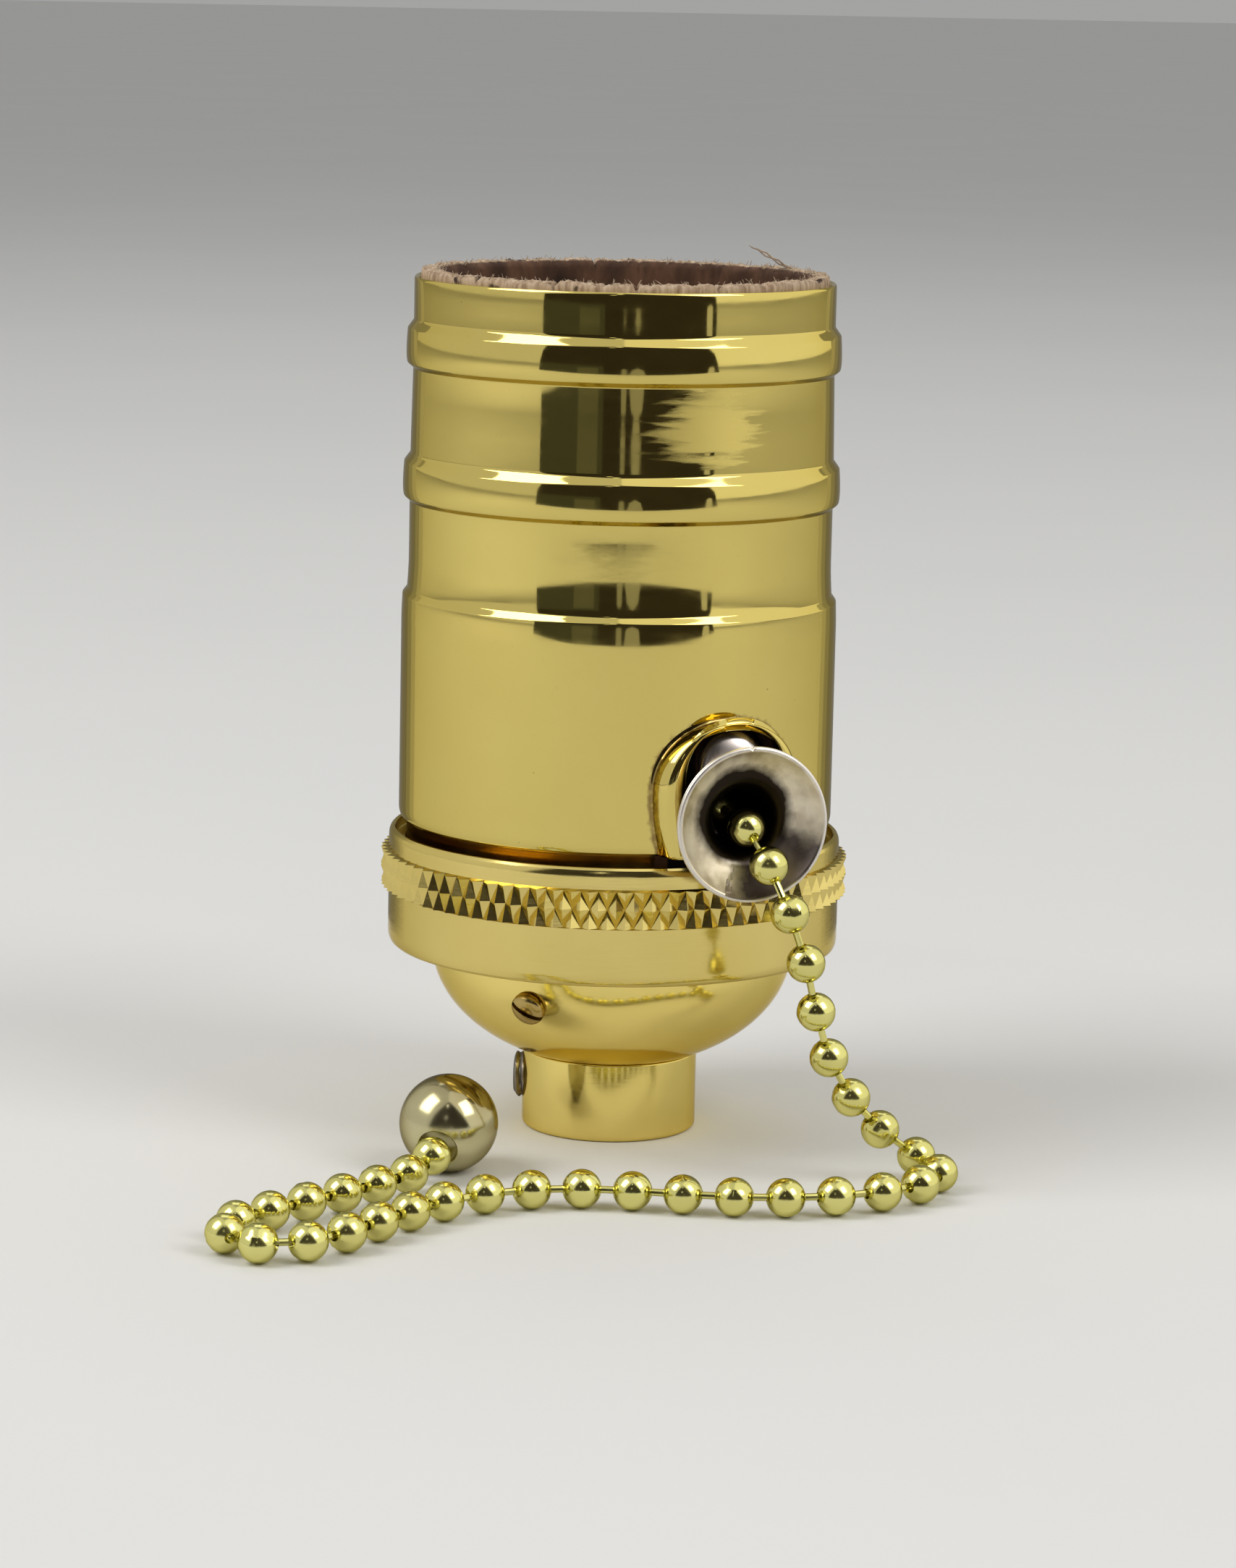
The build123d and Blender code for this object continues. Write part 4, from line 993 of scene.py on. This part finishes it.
def liner(finish):
    """The fibre tube inside the shell: torn along its rim, slit and creased, with a slot for the chain."""
    outline = [(LINER_R, z * MM) for z in (24.8, 40, 60, 70, 71.5, 72.3, 72.7, 73.0, 73.2)]
    rim = mm([(17.14, 73.4), (16.9, 73.5), (16.4, 73.54), (16.1, 73.5), (15.65, 73.44), (15.35, 73.15)])
    inside = (72.9, 72.4, 71.8, 71, 70, 68.5, 66, 62, 57, 50, 40, 24.8)
    outline += rim + [(LINER_INNER_R, z * MM) for z in inside]
    lining = lathe(outline, 540, shift=torn).piece("fibre_liner", finish, sharp=180)
    half, rise, foot = 4.9 * MM, 32.9 * MM, 20 * MM
    arch = [(CHAIN_X + half, foot)] + arc(CHAIN_X, rise, half, half, 0, pi, 20) + [(CHAIN_X - half, foot)]
    slot = Build()
    ends = slot.grid([[Vector((x, y * MM, z)) for x, z in arch] for y in (-10.5, -22.5)])
    slot.faces += [tuple(reversed(ends[0])), tuple(ends[-1])]
    carve(lining, slot.piece("cutter", finish), finish)
    lining.data.set_sharp_from_angle(angle=pi)
    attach(lining, "socket")
    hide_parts("insulating_liner")


def liner_fuzz(finish):
    """Stray fibres round the liner's rim, and a loose double thread at its right."""
    build = Build()
    chances = random.Random(11)
    for _ in range(420):
        turn = chances.uniform(0, 2 * pi)
        r = chances.uniform(LINER_INNER_R + 0.1 * MM, LINER_R - 0.15 * MM)
        root = around(turn, r, LINER_TOP - 0.25 * MM)
        lean = around(turn + pi / 2, chances.uniform(-0.7, 0.7), 0)
        lean += around(turn, chances.uniform(-0.4, 0.35), 0.75)
        long = chances.uniform(0.25, 0.85) * MM
        bend = Vector((chances.uniform(-1, 1), chances.uniform(-1, 1), 0.1)) * long * 0.5
        points = [root + lean * long * t + bend * t * t for t in (0, 0.35, 0.7, 1)]
        thin = chances.uniform(0.02, 0.05) * MM
        build.tube(points, [thin, thin, thin * 0.8, thin * 0.4], 4)
    foot = around(CAMERA_TURN + radians(118), 16.4 * MM, LINER_TOP - 0.2 * MM)
    left = -around(CAMERA_TURN + pi / 2, MM, 0)
    drift = [(0, 0), (0.7, 0.42), (1.4, 0.66), (2.0, 1.15), (2.6, 1.34), (3.2, 1.86), (3.7, 2.0), (4.0, 2.2)]
    for gap, reach in ((0.0, 1.0), (0.28, 0.86)):
        points = [foot + left * (a * reach - gap) + Vector((0, 0, b * reach * MM)) for a, b in drift]
        build.tube(points, [0.075 * MM] * 6 + [0.055 * MM, 0.03 * MM], 6)
    fuzz = build.piece("liner_fibres", finish, sharp=180)
    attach(fuzz, "socket")


# ================ collar and cap ================


def collar(finish):
    """The turned collar: a band of real diamond knurling between smooth shoulders."""
    teeth, tip, root, side = 84, 19.96 * MM, 19.42 * MM, 19.32 * MM
    low, high, rise = 20.95 * MM, 24.3 * MM, 1.54 * MM
    columns = 2 * teeth
    chances = random.Random(3)
    lower = mm([(15.65, 17.2), (15.65, 16.12), (15.75, 16.0), (18.3, 16.0), (18.62, 16.03), (18.92, 16.14)]
               + [(19.14, 16.34), (19.25, 16.6), (19.3, 16.95), (19.3, 17.4), (19.3, 19.0), (19.3, 20.55)])
    upper = mm([(19.3, 24.75), (19.3, 25.3), (19.27, 25.6), (19.17, 25.85), (19.0, 26.02), (18.85, 26.05)]
               + [(18.75, 25.95), (18.75, 25.1), (18.68, 25.0), (17.95, 25.0), (17.85, 24.9), (17.85, 17.3)]
               + [(17.75, 17.2), (15.65, 17.2)])
    rows = rings(lower + [(side, low)], columns)
    knurl_start = len(rows)
    for place in (-1, 0, 1):
        row = []
        for k in range(columns):
            r = tip if (k + place) % 2 == 0 else root
            r += chances.uniform(-0.03, 0.03) * MM
            row.append(around(2 * pi * k / columns, r, (low + high) / 2 + place * rise))
        rows.append(row)
    rows += rings([(side, high)] + upper, columns)
    build = Build()
    ids = [[build.add(point) for point in row] for row in rows]
    for at, (below, above) in enumerate(zip(ids, ids[1:])):
        for k in range(columns):
            after = (k + 1) % columns
            if not knurl_start <= at < knurl_start + 2:
                build.faces.append((below[k], below[after], above[after], above[k]))
            # split each square of the knurling along the bottom of its groove
            elif (k + at - knurl_start - 1) % 2 == 0:
                build.faces += [(below[k], below[after], above[k]), (below[after], above[after], above[k])]
            else:
                build.faces += [(below[k], below[after], above[after]), (below[k], above[after], above[k])]
    ring = weld(build.piece("knurled_ring", finish, sharp=22, weighted=True))
    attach(ring, "socket")
    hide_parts("knurled_collar")


DOME_R, DOME_DEPTH, DOME_Z = 15.5 * MM, 10.3 * MM, 15.8 * MM
LAND_R = 7.4 * MM
LAND_Z = DOME_Z - DOME_DEPTH * sqrt(1 - (LAND_R / DOME_R) ** 2)


def dome(finish):
    """The spun dome, with its flange and rim inside the collar."""
    wall, hole = 0.8 * MM, 5.9 * MM
    start = asin(LAND_R / DOME_R) - pi / 2
    outline = [(hole, LAND_Z)] + arc(0, DOME_Z, DOME_R, DOME_DEPTH, start, 0, 40)
    outline += mm([(15.5, 17.2), (17.4, 17.2), (17.5, 17.3), (17.5, 21.1), (17.4, 21.2), (16.8, 21.2)]
                  + [(16.7, 21.1), (16.7, 18.1), (16.6, 18.0), (14.7, 18.0)])
    outline += arc(0, DOME_Z, DOME_R - wall, DOME_DEPTH - wall, 0, start, 40) + [(hole, LAND_Z + wall)]
    cap = lathe(outline, 256).piece("spun_dome", finish, sharp=40, weighted=True)
    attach(cap, "socket")
    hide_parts("cap_dome")


def hub(finish):
    """The turned hub, with its pipe thread cut inside."""
    bore, thread, pitch = 4.6 * MM, 0.42 * MM, 0.94 * MM
    low, high = 0.4 * MM, 8.0 * MM
    # the outside and the two ends, then rows down the bore, about nine to each turn of the thread
    lip = rounded(mm([(4.75, 0.35, 0), (5.15, 0.0, 0.1), (7.5, 0.0, 0.45), (7.5, LAND_Z / MM, 0.15)]
                     + [(5.9, LAND_Z / MM, 0), (5.9, 8.35, 0.15), (4.75, 8.35, 0.05)]), 5)
    count = 74
    bore_rows = [(bore, high - (high - low) * k / count) for k in range(count + 1)]

    def cut(turn, r, z):
        if abs(r - bore) > 1e-9:
            return r, z
        wave = (z / pitch - turn / (2 * pi)) % 1
        fade = ease((z - low) / (0.5 * MM)) * ease((high - z) / (0.5 * MM))
        return r + thread * fade * (1 - abs(2 * wave - 1)), z

    stem = lathe(lip + bore_rows, shift=cut).piece("threaded_hub", finish, sharp=40, weighted=True)
    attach(stem, "socket")
    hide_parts("cap_hub")


def dome_screw(finish):
    """The small round-headed screw in the dome, with its slot."""
    seat_z = 13.0 * MM
    drop = seat_z - DOME_Z
    reach = DOME_R * sqrt(1 - (drop / DOME_DEPTH) ** 2)
    turn = radians(-45)
    place = facing(around(turn, reach, seat_z), around(turn, reach / DOME_R**2, drop / DOME_DEPTH**2))
    radius, side, rise = 1.45 * MM, 0.3375 * MM, 0.6625 * MM
    shank_r, shank_long = 1.0 * MM, 2.9 * MM
    outline = [(0, -shank_long), (shank_r * 0.8, -shank_long), (shank_r, 0.2 * MM - shank_long), (shank_r, 0)]
    outline += [(radius * 0.96, 0), (radius, 0.06 * MM)] + arc(0, side, radius, rise, 0, pi / 2, 8)
    screw = weld(skin(rings(outline, 64, place)).piece("cap_screw", finish, sharp=40))
    slot_width, slot_depth, over = 0.42 * MM, 0.65 * MM, 1 * MM
    middle = (0, 0, side + rise - slot_depth / 2 + over / 2)
    size = (slot_width, 4 * radius, slot_depth + over)
    carve(screw, slot_cutter(middle, size, place @ Matrix.Rotation(radians(62), 4, "Z")), finish)
    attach(screw, "socket")
    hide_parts("dome_screw")


def set_screw(finish):
    """The headless screw in the hub's side, with its thread showing."""
    radius, pitch, inner, outer = 2.05 * MM, 0.62 * MM, 5.2 * MM, 8.2 * MM
    place = facing(around(radians(-113), 0, 4.0 * MM), around(radians(-113), 1, 0))
    count, steps = 48, 44

    def cut(turn, r, z):
        wave = (z / pitch - turn / (2 * pi)) % 1
        end = min((outer - z) / (0.35 * MM), 1)
        return max(r - 0.26 * MM * abs(2 * wave - 1) - 0.3 * MM * (1 - end) ** 2, 0), z

    side = [(radius, inner + (outer - inner) * k / steps) for k in range(steps + 1)]
    rows = rings([(0, inner)] + side + [(0, outer)], count, place, cut)
    screw = weld(skin(rows).piece("grub_screw", finish, sharp=40))
    slot_place = place @ Matrix.Rotation(radians(20), 4, "Z")
    carve(screw, slot_cutter((0, 0, outer), (0.6 * MM, 6 * MM, 1.5 * MM), slot_place), finish)
    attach(screw, "socket")
    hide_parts("hub_set_screw")


# ================ lamp socket ================


def screw_shell(finish):
    """The lamp's screw shell: a true helical thread rolled in thin brass."""
    minor, depth, pitch, wall = 12.35 * MM, 0.8 * MM, 25.4 / 7 * MM, 0.45 * MM
    low, top = 50.0 * MM, 69.1 * MM
    columns, rows_up = 160, 110

    def thread(turn, r, z):
        wave = (z / pitch + turn / (2 * pi)) % 1
        bulge = (0.5 - 0.5 * cos(2 * pi * wave)) ** 0.8
        fade = ease((z - low) / (1.2 * MM)) * ease((top - z) / (1.4 * MM))
        return r + depth * bulge * fade, z

    # the thread's outside and inside, then the base under it; the thread fades out at both its ends
    heights = [low + (top - low) * k / rows_up for k in range(rows_up + 1)]
    outline = [(minor + wall, z) for z in heights] + [(minor + wall / 2, top + 0.05 * MM)]
    outline += [(minor, z) for z in reversed(heights)]
    outline += mm([(12.65, 49.2), (12.65, 46.15), (12.45, 45.95), (7.3, 45.95), (7.2, 45.9), (7.2, 45.55)]
                  + [(7.3, 45.5), (12.9, 45.5), (13.1, 45.7), (13.1, 49.2)])
    build = lathe(outline, columns, shift=thread)
    lamp = weld(build.piece("lamp_thread", finish, sharp=50))
    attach(lamp, "socket")
    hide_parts("screw_shell")


def dress(finish, nodes):
    """Give CAD nodes that stay their finish."""
    for node in nodes:
        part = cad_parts[node]
        part.data.materials.clear()
        part.data.materials.append(finish)


# ================ the object ================

camera()

chain_brass = metal("chain_brass", (0.76, 0.72, 0.26), (0.66, 0.60, 0.20), (0.12, 0.20))
tarnished = metal("tarnished_plate", (0.66, 0.62, 0.38), (0.30, 0.235, 0.10), (0.10, 0.24), (1, 1, 0.4))
free_chain(chain_brass, end_ball(tarnished))
draw_end(chain_brass)

studio()
floor()
tent()
tent_mouth()

warm, warm_dull = (0.67, 0.545, 0.165), (0.645, 0.515, 0.15)
polished = metal("polished_brass", warm, warm_dull, (0.035, 0.08), (1, 1, 3), 0.02, 6e-7)
paint_crease_shade(polished)
scuff(polished, (0.0012, -0.0175, 0.0620), (0.0048, 0.0048, 0.0034))
turned = metal("turned_brass", (0.74, 0.60, 0.21), (0.68, 0.54, 0.17), (0.10, 0.19), (1, 1, 14), 0.02, 2e-6)
# a brighter brass for the dome and hub: painted light, making up for the shaded floor under them that they
# reflect
spun = metal("spun_brass_painted_light", (0.86, 0.70, 0.225), (0.79, 0.63, 0.19), (0.08, 0.15), (1, 1, 14), 0.02, 2e-6)
hood_nickel = metal("hood_nickel", (0.56, 0.51, 0.48), (0.36, 0.31, 0.29), (0.20, 0.32), waves=4e-6)
bright_nickel = metal("bright_nickel", (0.42, 0.385, 0.37), (0.26, 0.225, 0.215), (0.08, 0.17))
steel = metal("dark_steel", (0.30, 0.27, 0.23), (0.16, 0.13, 0.10), (0.28, 0.45))
# dark brass for the screws, and on the shell's skirt as painted shade in the gap above the collar
dark_brass = metal("dark_brass", (0.52, 0.38, 0.13), (0.22, 0.14, 0.05), (0.10, 0.24))
contact = metal("contact_brass", (0.78, 0.60, 0.26), (0.62, 0.44, 0.18), (0.16, 0.30))
moulding = plastic("black_moulding", (0.022, 0.019, 0.017), (0.012, 0.010, 0.009), (0.30, 0.48), 2e-5)
board = fibre()
strands = plastic("loose_fibres", (0.55, 0.43, 0.30), (0.30, 0.20, 0.12), (0.8, 0.95), 1e-5)

bell(bell_plate())
hood(hood_nickel)
shell(polished, dark_brass)
liner(board)
liner_fuzz(strands)
collar(turned)
dome(spun)
hub(spun)
dome_screw(dark_brass)
set_screw(steel)
screw_shell(contact)

dress(board, ["cap_liner"])
dress(moulding, ["lamp_insulator", "switch_housing", "switch_rotor"])
dress(steel, ["housing_screws", "spindle", "return_spring", "pull_lever", "drive_pawl", "ratchet_wheel"])
dress(steel, ["stop_pawl"])
dress(contact, ["screw_shell_rivets", "center_contact", "center_contact_rivet", "rotor_bridge"])
dress(contact, ["line_contact", "load_contact", "neutral_terminal"])
dress(dark_brass, ["line_terminal_screw"])
dress(bright_nickel, ["neutral_terminal_screw", "guide_rivet"])
